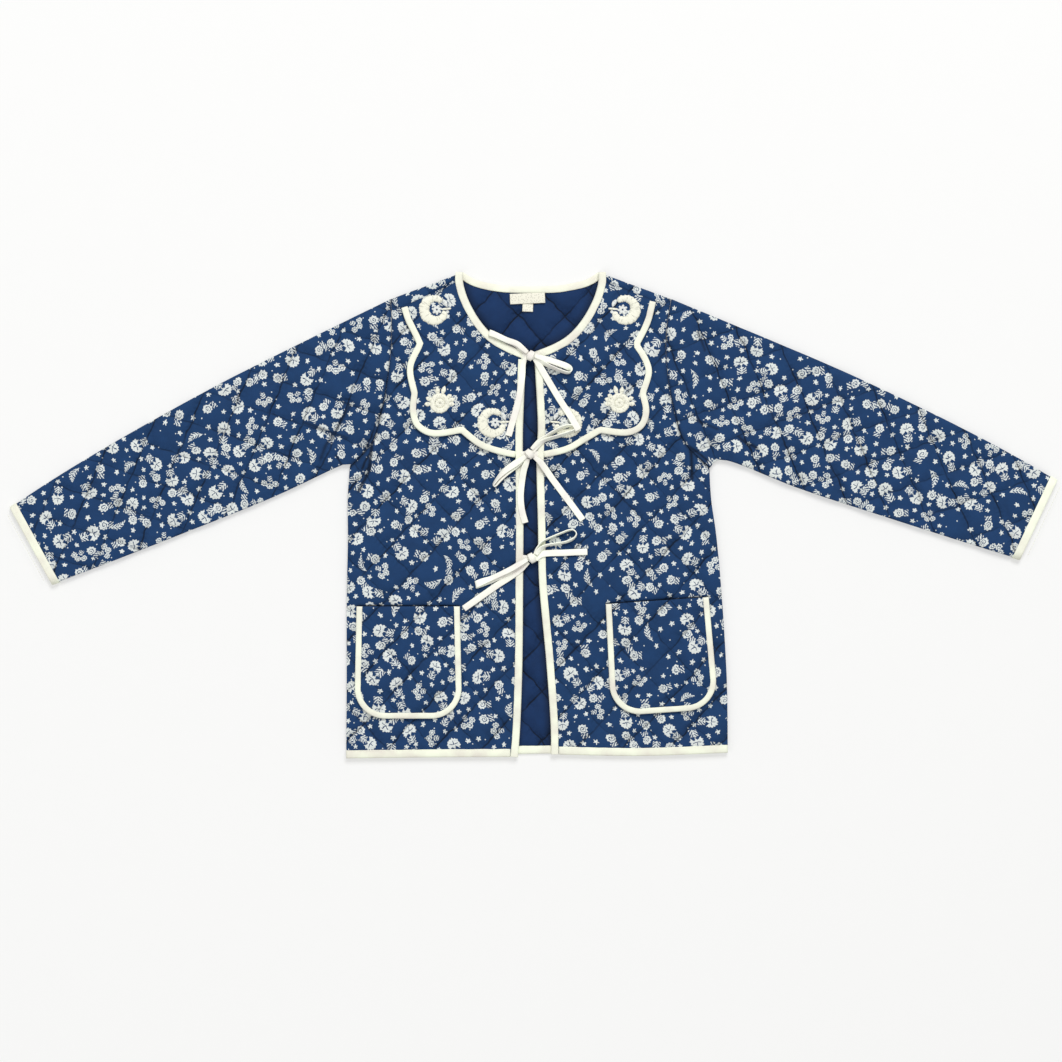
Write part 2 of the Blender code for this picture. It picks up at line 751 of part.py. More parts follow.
def build_collar(side):
    edges = collar_edges(side)
    outline = closed(joined(edges["front"], edges["neck"], edges["shoulder"], edges["scallop"]))
    every = [outline + outline[:1]]

    def heights(x, y):
        low = OVER_BOTTOM + OVER_LIFT * edge_ramp(away(x, y, [edges["scallop"]]))
        high = OVER_TOP + OVER_PUFF * pillow(body_lattice, x, y) * quilt_fade(away(x, y, every))
        return low, high - COLLAR_DIP * seam_share(away(x, y, [edges["shoulder"]]))

    word = SIDES[side]
    panel(f"collar_{word}", outline, heights, lattice_cuts(body_lattice, outline), "printed_cotton")
    scallop = trimmed(edges["scallop"], start=1.0, end=EDGE_LIP + SCALLOP_RUN_OFF)
    binding(f"scallop_binding_{word}", scallop, -side, lambda x, y: OVER_LIPS, SCALLOP_LIP)


def build_pocket(side):
    edges = pocket_edges(side)
    outline = closed(joined(edges["bound"], edges["mouth"]))
    every = [outline + outline[:1]]
    left, right = edges["bound"][0], edges["bound"][-1]
    foot = pocket_place(side, 0.0, POCKET_DEEP)

    def gape(x, y):
        """How far the slack mouth stands off the front."""
        across = math.dist((x, y), left) - math.dist((x, y), right)
        depth = away(x, y, [[left, right]]) / math.dist(foot, pocket_place(side, 0.0, 0.0))
        return POCKET_GAPE * max(0.0, 1.0 - (across / POCKET_MOUTH) ** 2) * max(0.0, 1.0 - depth)

    def heights(x, y):
        rim = edge_ramp(away(x, y, [edges["bound"]]))
        low = OVER_BOTTOM + OVER_LIFT * rim
        high = OVER_TOP + OVER_PUFF * pillow(body_lattice, x, y) * quilt_fade(away(x, y, every))
        slack = gape(x, y) * (1.0 - rim)
        return low + slack, high + slack

    word = SIDES[side]
    panel(f"pocket_{word}", outline, heights, lattice_cuts(body_lattice, outline), "printed_cotton")
    binding(f"pocket_binding_{word}", edges["bound"], 1, lambda x, y: OVER_LIPS, POCKET_LIP)


def build_sleeve(side):
    edges = sleeve_edges(side)
    outline = closed(joined(edges["upper"], edges["cuff"], edges["lower"], edges["armhole"]))
    folds = [edges["upper"], edges["lower"]]
    every = [outline + outline[:1]]
    lattice = sleeve_lattice(side)

    def heights(x, y):
        fold = seam_share(away(x, y, folds))
        low = max(BACK_LIFT * edge_ramp(away(x, y, [edges["cuff"]])), SLEEVE_FOLD_LOW * fold)
        high = FRONT_TOP + PUFF * pillow(lattice, x, y) * quilt_fade(away(x, y, every))
        seam = SEAM_DIP * seam_share(away(x, y, [edges["armhole"]]))
        high -= max((FRONT_TOP - SLEEVE_FOLD_HIGH) * fold, seam)
        return low, high + fold_rise(slack, x, y)

    cuts = lattice_cuts(lattice, outline)
    slack = FOLDS["sleeve", side]
    sleeve = panel(f"sleeve_{SIDES[side]}", outline, heights, cuts, "printed_cotton", folds=slack)
    hollow_out(sleeve, side)
    build_cuff(side, edges)


def hollow_out(sleeve, side):
    """The sleeve's inside: a thin hollow from the cuff to the armhole, cut right through both ends."""
    edges = sleeve_edges(side, SLEEVE_SLOT_INSET, SLEEVE_SLOT_PAST)
    outline = closed(joined(edges["upper"], edges["cuff"], edges["lower"], edges["armhole"]))
    bm = bmesh.new()
    floor = bm.faces.new([bm.verts.new((x * MM, y * MM, SLEEVE_FLOOR * MM)) for x, y in outline])
    made = bmesh.ops.extrude_face_region(bm, geom=[floor], use_keep_orig=True)
    risen = [item for item in made["geom"] if isinstance(item, bmesh.types.BMVert)]
    bmesh.ops.translate(bm, vec=(0.0, 0.0, (SLEEVE_CEILING - SLEEVE_FLOOR) * MM), verts=risen)
    cutter = bpy.data.objects.new(f"{sleeve.name}_hollow", mesh_from(bm, "hollow"))
    CUTTERS.objects.link(cutter)
    cutter.hide_render = True
    cutter.display_type = "WIRE"
    cut = sleeve.modifiers.new("hollow", "BOOLEAN")
    cut.operation = "DIFFERENCE"
    cut.object = cutter


def build_cuff(side, edges):
    """A ring folded over the end of the sleeve, open where the sleeve is, flared as the sleeve is."""
    upper, lower = Vector(edges["cuff"][0]).to_3d(), Vector(edges["cuff"][1]).to_3d()
    wide = (lower - upper).length
    along = (lower - upper) / wide
    into = Vector((-along.y, along.x, 0.0)) * -side
    flares = []
    for end, next_in in ((upper, edges["upper"][-2]), (lower, edges["lower"][1])):
        run = Vector(next_in).to_3d() - end
        flares.append(run / run.dot(into))
    corner = upper
    inner = wide - EDGE_ZONE
    stations = [EDGE_ZONE + (inner - EDGE_ZONE) * k / 4 for k in range(5)]
    under = [(0.0, SLEEVE_FOLD_LOW)] + [(s, BACK_LIFT) for s in stations] + [(wide, SLEEVE_FOLD_LOW)]
    over = [(0.0, SLEEVE_FOLD_HIGH)] + [(s, FRONT_TOP) for s in stations] + [(wide, SLEEVE_FOLD_HIGH)]
    around = under + over[::-1]
    reach = GAP + STRIP
    section = (
        (CUFF_LIP, GAP),
        (CUFF_LIP, reach),
        (FOLD_ROUND - reach, reach),
        (-reach, reach - FOLD_ROUND),
        (-reach, -CUFF_WALL_DEPTH),
        (-GAP, -CUFF_WALL_DEPTH),
        (-GAP, GAP),
    )
    loop = around[-1:] + around + around[:1]
    sections = []
    for i in range(1, len(loop) - 1):
        out_s, out_z = inward(loop[i - 1 : i + 2], 1, -1)
        ring = []
        share = loop[i][0] / wide
        inner_way = flares[0] * (1.0 - share) + flares[1] * share
        for depth, off in section:
            point = corner + along * (loop[i][0] + out_s * off) + inner_way * depth
            ring.append((point.x, point.y, loop[i][1] + out_z * off))
        sections.append(ring)
    loft(f"cuff_binding_{SIDES[side]}", sections, "ivory_binding", ring=True)


def build_label(name, spot):
    """A bare tape on the inside of the back, under the neck."""
    x, y, wide, tall = spot
    bpy.ops.mesh.primitive_cube_add(size=1.0)
    made = bpy.context.object
    made.name = name
    made.data.transform(made.matrix_world)
    low = BACK_TOP + GAP
    for vert in made.data.vertices:
        vert.co.x = (x + vert.co.x * wide) * MM
        vert.co.y = (y + vert.co.y * tall) * MM
        vert.co.z = (low + (vert.co.z + 0.5) * LABEL_THICK) * MM
    for home in list(made.users_collection):
        home.objects.unlink(made)
    made.data.materials.append(MATERIALS["label_tape"])
    GARMENT.objects.link(made)


# Ties

def strip_sections(points, across, rolls, pinches):
    """Sections of a flat tie along a line. across is its width's direction, turned by each roll."""
    sections = []
    thick = TIE_THICK / 2.0
    for i, point in enumerate(points):
        half = TIE_WIDE / 2.0 * pinches[i]
        ahead = Vector(points[min(i + 1, len(points) - 1)]) - Vector(points[max(i - 1, 0)])
        ahead.normalize()
        wide = Vector(across)
        wide = (wide - ahead * wide.dot(ahead)).normalized()
        face = ahead.cross(wide)
        spin = Matrix.Rotation(math.radians(rolls[i]), 3, ahead)
        wide, face = spin @ wide, spin @ face
        corners = ((-half, -thick), (half, -thick), (half, thick), (-half, thick))
        sections.append([tuple(Vector(point) + wide * w + face * t) for w, t in corners])
    return sections


def tie_strip(name, knot, angle, rows, rolls):
    """A flat tie from rows of distance from the knot's middle, distance aside and height."""
    turn = math.radians(angle)
    ahead = Vector((math.cos(turn), math.sin(turn), 0.0))
    across = Vector((-math.sin(turn), math.cos(turn), 0.0))
    middle = Vector((knot[0], knot[1], 0.0))
    points = [middle + ahead * along + across * aside + Vector((0.0, 0.0, z)) for along, aside, z in rows]
    start = min(along for along, _, _ in rows)
    pinches = [min(1.0, TIE_PINCH + (1.0 - TIE_PINCH) * (row[0] - start) / TIE_PINCH_RUN) for row in rows]
    return loft(name, strip_sections(points, across, rolls, pinches), "ivory_tie")


def knot_edge(angle):
    """Distance from a knot's middle to where a tie leaves it."""
    turn = math.radians(angle)
    return GAP + 1.0 / math.hypot(math.cos(turn) / KNOT_HALF[0], math.sin(turn) / KNOT_HALF[1])


def build_bow(number, knot):
    name = f"bow_{number + 1}"
    cloth = knot[2]
    for side, word in SIDES.items():
        angle, reach, spread, far, roll = LOOPS[number][side]
        start = knot_edge(angle)
        rows = []
        rolls = []
        for share, aside, rise in LOOP_SECTIONS:
            turn = roll * max(0.0, min(1.0, (share - 0.14) / 0.5))
            edge_on = math.sin(math.radians(turn)) * TIE_WIDE / 2.0
            lying = max(LOOP_LYING, edge_on + math.cos(math.radians(turn)) * TIE_THICK / 2.0 + 2.0 * GAP)
            under = cloth + (far - cloth) * share
            stacked = rise * math.cos(math.radians(turn))
            rows.append((start + (reach - start) * share, spread * aside, under + lying + stacked))
            rolls.append(turn)
        tie_strip(f"{name}_loop_{word}", knot, angle, rows, rolls)
        angle, length, bow, far = TAILS[number][side]
        start = knot_edge(angle)
        rows = []
        for share, aside, rise in TAIL_SECTIONS:
            under = cloth + (far - cloth) * min(1.0, share * 2.0)
            rows.append((start + (length - start) * share, bow * aside, under + rise))
        tie_strip(f"{name}_tail_{word}", knot, angle, rows, [0.0] * len(rows))
    build_knot(f"{name}_knot", knot)


def build_knot(name, knot):
    """The wrapped middle of a bow, with the two short straps that hold it to the bindings."""
    bm = bmesh.new()
    bmesh.ops.create_uvsphere(bm, u_segments=12, v_segments=8, radius=1.0)
    middle = Vector((knot[0], knot[1], knot[2] + GAP + KNOT_HALF[2]))
    for vert in bm.verts:
        vert.co = (middle + Vector([a * b for a, b in zip(vert.co, KNOT_HALF)])) * MM
    made = place(name, mesh_from(bm, name), "ivory_tie")
    for angle in (0.0, 180.0):
        rows = [(out, 0.0, knot[2] + height) for out, height in STRAP_SECTIONS]
        strap = tie_strip(f"{name}_strap_{angle:.0f}", knot, angle, rows, [0.0] * len(rows))
        GARMENT.objects.unlink(strap)
        CUTTERS.objects.link(strap)
        strap.hide_render = True
        strap.display_type = "WIRE"
        joint = made.modifiers.new("strap", "BOOLEAN")
        joint.operation = "UNION"
        joint.object = strap


clear_scene()
MATERIALS = make_materials()
GARMENT = bpy.data.collections.new("quilted_jacket")
CUTTERS = bpy.data.collections.new("cutters")
bpy.context.scene.collection.children.link(GARMENT)
bpy.context.scene.collection.children.link(CUTTERS)

build_back()
build_label("neck_label", LABEL)
build_label("size_tab", SIZE_TAB)
for hand_side in SIDES:
    build_front(hand_side)
    build_collar(hand_side)
    build_pocket(hand_side)
    build_sleeve(hand_side)
for bow_number, bow_knot in enumerate(KNOTS):
    build_bow(bow_number, bow_knot)
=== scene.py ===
"""Looks of a child's quilted jacket, laid flat and open down the front, tied with three bows.

Each quilted panel is a sheet cut on its own stitched lines. The bindings, ties, embroidery and
stitches lie on it. +X is the viewer's right, +Y points to the neck and +Z is up. Sizes in the
tables are millimetres, and every mesh is in metres.
"""

import math

import bmesh
import bpy
from bpy.props import FloatProperty, FloatVectorProperty, IntProperty, PointerProperty
from mathutils import Matrix, Vector, noise
from mathutils.kdtree import KDTree


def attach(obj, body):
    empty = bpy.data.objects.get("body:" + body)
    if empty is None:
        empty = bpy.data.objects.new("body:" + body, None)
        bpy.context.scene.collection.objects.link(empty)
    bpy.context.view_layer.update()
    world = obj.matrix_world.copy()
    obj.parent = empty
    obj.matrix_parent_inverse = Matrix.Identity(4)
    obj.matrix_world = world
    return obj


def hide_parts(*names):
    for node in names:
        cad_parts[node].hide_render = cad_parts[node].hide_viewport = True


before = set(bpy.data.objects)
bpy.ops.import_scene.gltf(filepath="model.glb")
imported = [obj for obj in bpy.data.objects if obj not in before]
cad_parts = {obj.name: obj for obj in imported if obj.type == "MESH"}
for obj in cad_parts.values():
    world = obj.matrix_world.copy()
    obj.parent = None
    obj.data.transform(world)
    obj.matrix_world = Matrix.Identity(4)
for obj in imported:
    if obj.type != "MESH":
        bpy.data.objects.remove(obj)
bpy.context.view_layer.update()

bl_info = {
    "name": "Quilted jacket",
    "version": (1, 0, 0),
    "blender": (4, 5, 0),
    "location": "View3D > Sidebar > Jacket",
    "description": "Quilted panels, bindings, ties and embroidery of a child's jacket laid flat",
    "category": "Object",
}

MM = 0.001
LEFT, RIGHT = -1, 1
SIDES = {LEFT: "left", RIGHT: "right"}

# Height of each layer
GAP = 0.3
BACK_TOP = 3.2
BACK_STITCHED = 2.2
FRONT_BOTTOM = 3.6
FRONT_TOP = 5.8
OVER_BOTTOM = 7.3
OVER_TOP = 9.2
EDGE_ZONE = 7.5
EDGE_RAMP = 4.0
SEAM_DIP = 0.9
SEAM_ROLL = 6.0
FOLD_DROP = 1.1
RIM_LIFT = 0.9
MOUTH_DIP = 1.3

# Quilting: diamonds with upright diagonals, stitched on their sides
DIAMOND_WIDE = 47.0
DIAMOND_TALL = 50.0
QUILT_AT = (-5.0, 216.0)
BACK_QUILT_AT = (8.0, 174.0)
QUILT_PITCH = 1.0 / math.hypot(1.0 / DIAMOND_WIDE, 1.0 / DIAMOND_TALL)
PUCKER = 5.2

# Bindings: a strip folded over the edge, with a lip on each face of the cloth
STRIP = 0.7
NOSE = 1.5
END_TUCK = 0.4
STEP_BELOW = 7.0
STEP_RUN = 5.0
BINDING_STEP = 2.6
BACK_LIPS = (0.0, 0.7, 2.5, 3.2)
FRONT_LIPS = (3.5, 4.2, 6.1, 6.8)
NECK_LIPS = (3.5, 4.2, 9.5, 10.2)
OVER_LIPS = (7.2, 7.9, 9.5, 10.2)
EDGE_LIP = 6.4
NECK_LIP = 6.6
BACK_NECK_LIP = 6.0
HEM_LIP = 7.0
SCALLOP_LIP = 5.4
POCKET_LIP = 4.8
CUFF_LIP = 7.0

# Neck: distance out from its middle line, and height
NECK_MIDDLE = -2.8
FRONT_NECK = ((24.0, 170.0), (39.0, 179.5), (52.5, 195.0), (63.0, 214.0), (68.3, 231.0), (68.3, 242.0))
BACK_NECK = ((0.0, 227.5), (20.0, 228.0), (36.0, 229.7), (55.0, 234.2), (68.3, 242.0))

# Edges of the body: height, left edge, right edge
FRONT_EDGE = (
    (162.0, -8.5, 1.5), (92.0, -11.3, 5.2), (57.0, -11.5, 3.8), (-10.0, -11.0, 5.4), (-68.0, -11.4, 6.6),
    (-144.0, -12.0, 13.5), (-206.0, -14.0, 17.9), (-240.0, -16.3, 18.5),
)
ARMHOLE = (
    (215.5, -142.5, 137.5), (183.0, -141.5, 132.5), (143.0, -144.5, 133.5), (104.0, -151.5, 140.5),
    (72.0, -161.5, 151.0), (47.0, -183.5, 175.5),
)
SIDE_EDGE = (
    (47.0, -183.5, 175.5), (15.0, -185.5, 177.5), (-25.0, -185.3, 183.0), (-88.0, -186.5, 188.5),
    (-165.0, -186.5, 193.0), (-237.0, -187.0, 194.0),
)
# Hem height at the side, halfway and at the front edge
HEM = {LEFT: (-242.0, -241.0, -240.6), RIGHT: (-236.4, -239.6, -238.0)}
BACK_HEM = {LEFT: -239.0, RIGHT: -234.8}
BACK_HEM_MIDDLE = -237.6

# The sleeves' cloth: its slope in degrees, and a crossing of the stitching on each
SLEEVE_GRAIN = 24.0
SLEEVE_QUILT_AT = {LEFT: (-263.7, 101.1), RIGHT: (352.8, 93.4)}

# Sleeves: angle below level, length, and rows of share of the length, rise and drop of the folds
SLEEVE_ANGLE = {LEFT: 28.75, RIGHT: 25.2}
SLEEVE_LENGTH = {LEFT: 432.6, RIGHT: 424.7}
SLEEVE_SECTIONS = (
    (0.28, 5.5, 122.0), (0.465, 8.0, 116.5), (0.695, 7.5, 104.5), (0.875, 4.5, 94.5), (1.0, 0.0, 87.0),
)
SLEEVE_FLOOR = 2.6
SLEEVE_CEILING = 3.5
SLEEVE_SLOT_INSET = 4.0
SLEEVE_SLOT_PAST = 12.0
SLEEVE_FOLD_LOW = 1.2
SLEEVE_FOLD_HIGH = 5.0
CUFF_WALL_DEPTH = 1.5

# Collar: scalloped edge, a row of points for each lobe, from the shoulder seam to the front edge
COLLAR_FOOT = 57.0
SCALLOPS = {
    LEFT: (
        ((-131.2, 207.6), (-127.0, 194.5), (-120.6, 181.5), (-115.4, 170.5)),
        ((-115.4, 170.5), (-119.6, 162.6), (-124.6, 151.0), (-125.0, 139.0), (-120.8, 121.0)),
        ((-120.8, 121.0), (-122.4, 104.0), (-117.0, 88.0), (-100.0, 79.2), (-72.2, 82.6)),
        ((-72.2, 82.6), (-54.0, 68.6), (-33.5, 61.2), (-11.5, COLLAR_FOOT)),
    ),
    RIGHT: (
        ((121.4, 213.4), (117.2, 196.0), (113.2, 185.5), (105.0, 170.0)),
        ((105.0, 170.0), (113.6, 156.0), (117.2, 141.5), (111.2, 121.5)),
        ((111.2, 121.5), (114.6, 103.0), (109.0, 87.6), (93.0, 80.0), (66.6, 82.6)),
        ((66.6, 82.6), (53.0, 74.4), (32.5, 63.2), (3.8, COLLAR_FOOT)),
    ),
}
SCALLOP_RUN_OFF = 0.6
SHOULDER_SEAM = 7.0

# Slack cloth round the underarms: both ends, half width, rise
FOLDS = {
    ("front", LEFT): (((-146.0, 104.0), (-168.0, 14.0), 9.0, 1.6),),
    ("front", RIGHT): (((143.0, 84.0), (160.0, 24.0), 9.0, 1.6),),
    ("sleeve", LEFT): (
        ((-163.0, 112.0), (-199.0, 66.0), 9.0, 1.8),
        ((-192.0, 120.0), (-226.0, 78.0), 8.0, 1.0),
    ),
    ("sleeve", RIGHT): (
        ((158.0, 104.0), (195.0, 66.0), 9.0, 1.8),
        ((182.0, 116.0), (222.0, 82.0), 8.0, 1.0),
    ),
}

# Sharp creases: points along each, half width, depth
CREASES = {
    ("front", LEFT): (
        (((-159.0, 82.0), (-161.5, 70.0), (-162.8, 56.0), (-164.4, 44.0), (-174.5, 24.0)), 2.6, 1.5),
        (((-162.5, 62.0), (-167.8, 54.0), (-171.0, 46.0)), 1.8, 1.0),
    ),
    ("front", RIGHT): ((((151.0, 82.0), (155.5, 72.0), (157.5, 60.0), (158.5, 36.0)), 2.4, 1.5),),
    ("sleeve", LEFT): (
        (((-197.0, 59.0), (-192.0, 51.0)), 1.6, 1.0),
        (((-183.0, 110.0), (-196.0, 86.5), (-207.5, 69.0), (-212.4, 56.0)), 2.6, 0.6),
        (((-187.5, 77.5), (-200.6, 82.0), (-228.0, 92.0)), 2.6, 0.6),
    ),
    ("sleeve", RIGHT): (
        (((156.0, 68.0), (165.5, 61.0), (174.0, 54.0)), 1.8, 1.0),
        (((205.0, 77.5), (212.0, 72.0), (223.0, 67.0)), 2.6, 0.8),
        (((162.0, 95.0), (170.0, 91.0), (183.0, 86.0)), 2.6, 0.6),
        (((164.0, 183.0), (171.0, 165.0)), 2.2, 0.6),
    ),
}

# Patch pockets: middle of the mouth, turn in degrees
POCKET = {LEFT: (-125.0, -91.2, 0.0), RIGHT: (123.4, -85.4, 3.9)}
POCKET_MOUTH = 101.0
POCKET_BELLY = 104.5
POCKET_DEEP = 111.0
POCKET_CORNER = 29.0
POCKET_GAPE = 1.5

# Ties: flat strips. Knots: middle, height of the cloth under them, way that the loops run
TIE_WIDE = 6.4
TIE_THICK = 1.1
KNOTS = ((-2.8, 158.6, 10.2, -25.0), (-4.0, 60.7, 10.2, 38.0), (-1.7, -43.0, 6.9, 27.0))
KNOT_HALF = (4.2, 4.6, 3.4)
KNOT_BAND_WIDE = 5.2
KNOT_BAND_CUTS = 28
STRAP = ((0.0, 3.0, 0.7), (4.0, 2.2, 0.8), (7.0, 0.4, 0.9), (9.2, -0.9, 1.0))
# Each loop and tail by the points of its middle line: place, height, then roll in degrees and share of the
# width where it doesn't lie level and full
TIE_LEVEL = (0.0, 1.0)
TIES = {
    "bow_1_loop_left": (
        (-6.0, 160.6, 12.4, 0.0, 0.55), (-12.3, 165.6, 11.5, 0.0, 0.85), (-17.8, 170.2, 11.2, 0.0, 0.85),
        (-27.7, 174.5, 11.1, 0.0, 0.85), (-36.5, 178.8, 11.1, 0.0, 0.9), (-42.2, 181.2, 11.3, 0.0, 0.95),
        (-43.8, 181.5, 12.4), (-42.2, 181.1, 13.6, 0.0, 0.95), (-36.2, 178.6, 13.7, 0.0, 0.9),
        (-27.4, 174.6, 13.6, 0.0, 0.85), (-17.0, 170.8, 13.7, 0.0, 0.85), (-11.5, 166.6, 14.2, 0.0, 0.8),
        (-6.0, 161.8, 14.6, 0.0, 0.6),
    ),
    "bow_1_loop_right": (
        (1.4, 156.4, 12.6, 0.0, 0.5), (7.0, 153.2, 12.6, 35.0, 0.8), (14.0, 149.2, 13.2, 60.0),
        (22.2, 145.5, 13.4, 66.0), (30.0, 142.6, 13.4, 68.0), (35.2, 141.6, 13.4, 76.0),
        (37.4, 143.4, 13.2, 95.0), (36.2, 146.0, 12.8, 130.0), (31.1, 148.9, 12.2, 165.0),
        (22.2, 152.1, 12.0, 178.0), (12.0, 155.4, 12.8, 180.0, 0.95), (6.0, 157.2, 13.6, 180.0, 0.8),
        (1.4, 158.4, 13.9, 180.0, 0.55),
    ),
    "bow_1_tail_left": (
        (-8.0, 156.4, 12.4, 0.0, 0.6), (-10.4, 150.0, 11.6, 0.0, 0.85), (-11.3, 140.0, 11.2),
        (-13.5, 122.1, 11.1), (-17.1, 106.1, 11.0), (-21.5, 90.9, 11.0), (-24.9, 78.8, 11.0),
    ),
    "bow_1_tail_right": (
        (0.6, 155.8, 12.4, 0.0, 0.6), (4.4, 150.9, 11.7, 0.0, 0.85), (7.9, 145.4, 11.2),
        (16.9, 130.2, 11.1), (26.7, 114.1, 11.2), (36.5, 98.9, 13.2), (41.4, 90.6, 15.6),
        (44.8, 84.6, 16.2),
    ),
    "bow_2_loop_left": (
        (-8.5, 57.0, 12.0, 0.0, 0.6), (-14.0, 52.4, 11.0, 0.0, 0.9), (-18.8, 48.6, 9.6, 8.0),
        (-26.8, 42.2, 9.2, 30.0), (-33.0, 35.4, 10.2, 58.0), (-37.6, 29.6, 10.4, 74.0),
        (-39.2, 28.9, 10.4, 90.0), (-39.6, 30.8, 10.4, 106.0), (-35.2, 37.2, 10.4, 122.0),
        (-28.2, 44.2, 10.8, 150.0), (-19.2, 50.6, 12.2, 172.0), (-13.4, 54.4, 13.4, 180.0, 0.9),
        (-7.6, 58.6, 14.2, 180.0, 0.6),
    ),
    "bow_2_loop_right": (
        (-0.4, 62.6, 12.6, 0.0, 0.5), (3.6, 68.4, 12.6, 20.0, 0.75), (9.6, 73.4, 13.0, 50.0, 0.9),
        (15.0, 75.8, 13.2, 60.0), (20.0, 77.2, 13.2, 62.0), (29.4, 80.0, 13.1, 62.0),
        (36.5, 82.5, 12.9, 66.0), (40.8, 85.0, 12.9, 80.0), (40.4, 88.4, 12.9, 96.0),
        (34.7, 88.8, 13.0, 112.0), (26.7, 86.2, 13.1, 118.0), (18.4, 81.6, 13.2, 120.0),
        (11.4, 77.0, 13.8, 132.0, 0.9), (4.8, 72.6, 14.0, 160.0, 0.75), (-2.0, 65.6, 14.2, 180.0, 0.55),
    ),
    "bow_2_tail_left": (
        (-5.4, 56.2, 12.4, 0.0, 0.6), (-7.6, 50.5, 11.3, 0.0, 0.9), (-9.8, 44.4, 9.6), (-11.9, 31.1, 7.9),
        (-12.9, 17.9, 7.8), (-11.6, 4.6, 7.8), (-8.2, -7.9, 7.7),
    ),
    "bow_2_tail_right": (
        (0.0, 58.2, 12.4, 0.0, 0.6), (5.4, 54.0, 11.8, 0.0, 0.85), (9.8, 48.8, 10.6), (19.6, 34.7, 8.0),
        (33.8, 15.8, 7.7), (49.2, -5.1, 7.7),
    ),
    "bow_3_loop_left": (
        (-6.2, -45.4, 9.6, 0.0, 0.6), (-13.1, -49.8, 9.2, 0.0, 0.9), (-22.3, -55.1, 9.0),
        (-32.5, -60.6, 8.5, 0.0, 0.95), (-42.7, -65.0, 8.0), (-50.8, -67.8, 7.9, 0.0, 1.1),
        (-56.0, -69.5, 8.1, 0.0, 1.15), (-57.6, -69.7, 9.2, 0.0, 1.15), (-56.0, -68.6, 10.4, 0.0, 1.15),
        (-50.8, -66.4, 10.5, 0.0, 1.1), (-42.7, -63.4, 10.5, 0.0, 0.85), (-32.5, -58.8, 11.0, 0.0, 0.85),
        (-22.3, -53.8, 11.4, 0.0, 0.9), (-13.1, -48.4, 11.6, 0.0, 0.85), (-6.0, -44.4, 11.8, 0.0, 0.6),
    ),
    "bow_3_loop_right": (
        (1.2, -40.0, 9.4, 20.0, 0.5), (4.2, -33.0, 9.8, 60.0, 0.8), (9.4, -26.4, 10.4, 74.0),
        (18.5, -22.0, 10.5, 75.0), (27.7, -18.2, 10.5, 75.0), (34.9, -15.4, 10.5, 76.0),
        (39.8, -15.0, 10.5, 82.0), (42.8, -18.2, 10.5, 90.0), (41.4, -22.2, 10.5, 98.0),
        (36.4, -25.6, 10.5, 104.0), (28.7, -27.8, 10.5, 105.0), (18.5, -29.3, 10.5, 105.0),
        (11.4, -31.0, 10.5, 110.0), (6.4, -34.6, 10.6, 140.0, 0.85), (2.6, -39.4, 11.0, 165.0, 0.55),
    ),
    "bow_3_tail_left": (
        (-5.0, -47.0, 8.3, 0.0, 0.6), (-13.1, -54.6, 7.7, 0.0, 0.9), (-23.3, -61.7, 7.7),
        (-34.5, -68.9, 7.7), (-44.7, -76.0, 7.7), (-54.9, -83.2, 7.7), (-69.5, -93.4, 7.7),
    ),
    "bow_3_tail_right": (
        (2.0, -45.0, 8.9, 0.0, 0.6), (5.0, -41.4, 8.4, 0.0, 0.85), (9.0, -39.0, 8.0), (15.5, -38.1, 7.8),
        (28.7, -37.8, 7.7), (41.0, -37.2, 7.7), (53.7, -36.7, 7.7),
    ),
}

# Neck label and size tab, both bare: both ends of the middle line, width
LABEL = ((-23.5, 215.5), (11.5, 217.0), 10.4)
SIZE_TAB = ((-5.6, 213.6), (-5.9, 203.0), 10.6)
LABEL_THICK = 0.6
LABEL_OVER_TAB = 0.9

# Topstitching: distance in from a binding's edge, space between stitches, half width, half height, rise
STITCH_INSET = 1.1
STITCH_SPACE = 0.7
STITCH_HALF_WIDE = 0.3
STITCH_HALF_HIGH = 0.25
STITCH_RISE = 0.05

# Embroidered motifs on the collar: middle, and the way that its stem or leaves point, in degrees
CRESCENTS = {
    LEFT: ((-99.4, 204.4, 5.0), (-41.2, 91.8, 4.0)),
    RIGHT: ((91.8, 204.4, 175.0), (33.8, 91.8, 176.0)),
}
ROUND_BLOOMS = {LEFT: ((-93.4, 111.4, 60.0),), RIGHT: ((85.8, 111.6, 120.0),)}
# A wreath's outer radius, the turn from its stem to its start, its whole turn, and cuts along it
WREATH = (15.0, 46.0, 296.0, 108)
# A bloom's rings, each with its radius and width, and its leaves, each with its turn and length
BLOOM_RINGS = ((7.3, 5.6), (2.5, 4.8))
BLOOM_CUTS = 72
BLOOM_LEAVES = (
    (40.0, 7.5), (14.0, 9.0), (-24.0, 5.5), (-44.0, 6.5), (-64.0, 6.0), (98.0, 6.0), (124.0, 6.5),
)
SATIN_RISE = 1.3
LEAF_RISE = 0.9

# Stage: where the camera stands over the garment, its sensor in mm, and lights with place, size and watts
CAMERA_AT = (-0.0025, -0.016)
SENSOR = 36.0
LIGHTS = {"key": ((0.7, 3.4, 4.2), 2.4, 205.0), "fill": ((-1.5, -1.0, 2.8), 2.2, 17.0)}
ROOM_LIGHT = 0.55
FLOOR_GLOW = 0.53

# Threads and strands are 0.25 to 0.4 mm apart, drawn this far apart, in mm, so that they show
THREAD_SHOWN = 0.8


# Print: cells of the layout, each with one motif. Rows of a table are one Math node each: the name of
# its result, its operation and its inputs. Lengths are millimetres, and a result is above nought inside.
PRINT_CELL = 24.2
PRINT_SHIFT = 0.37
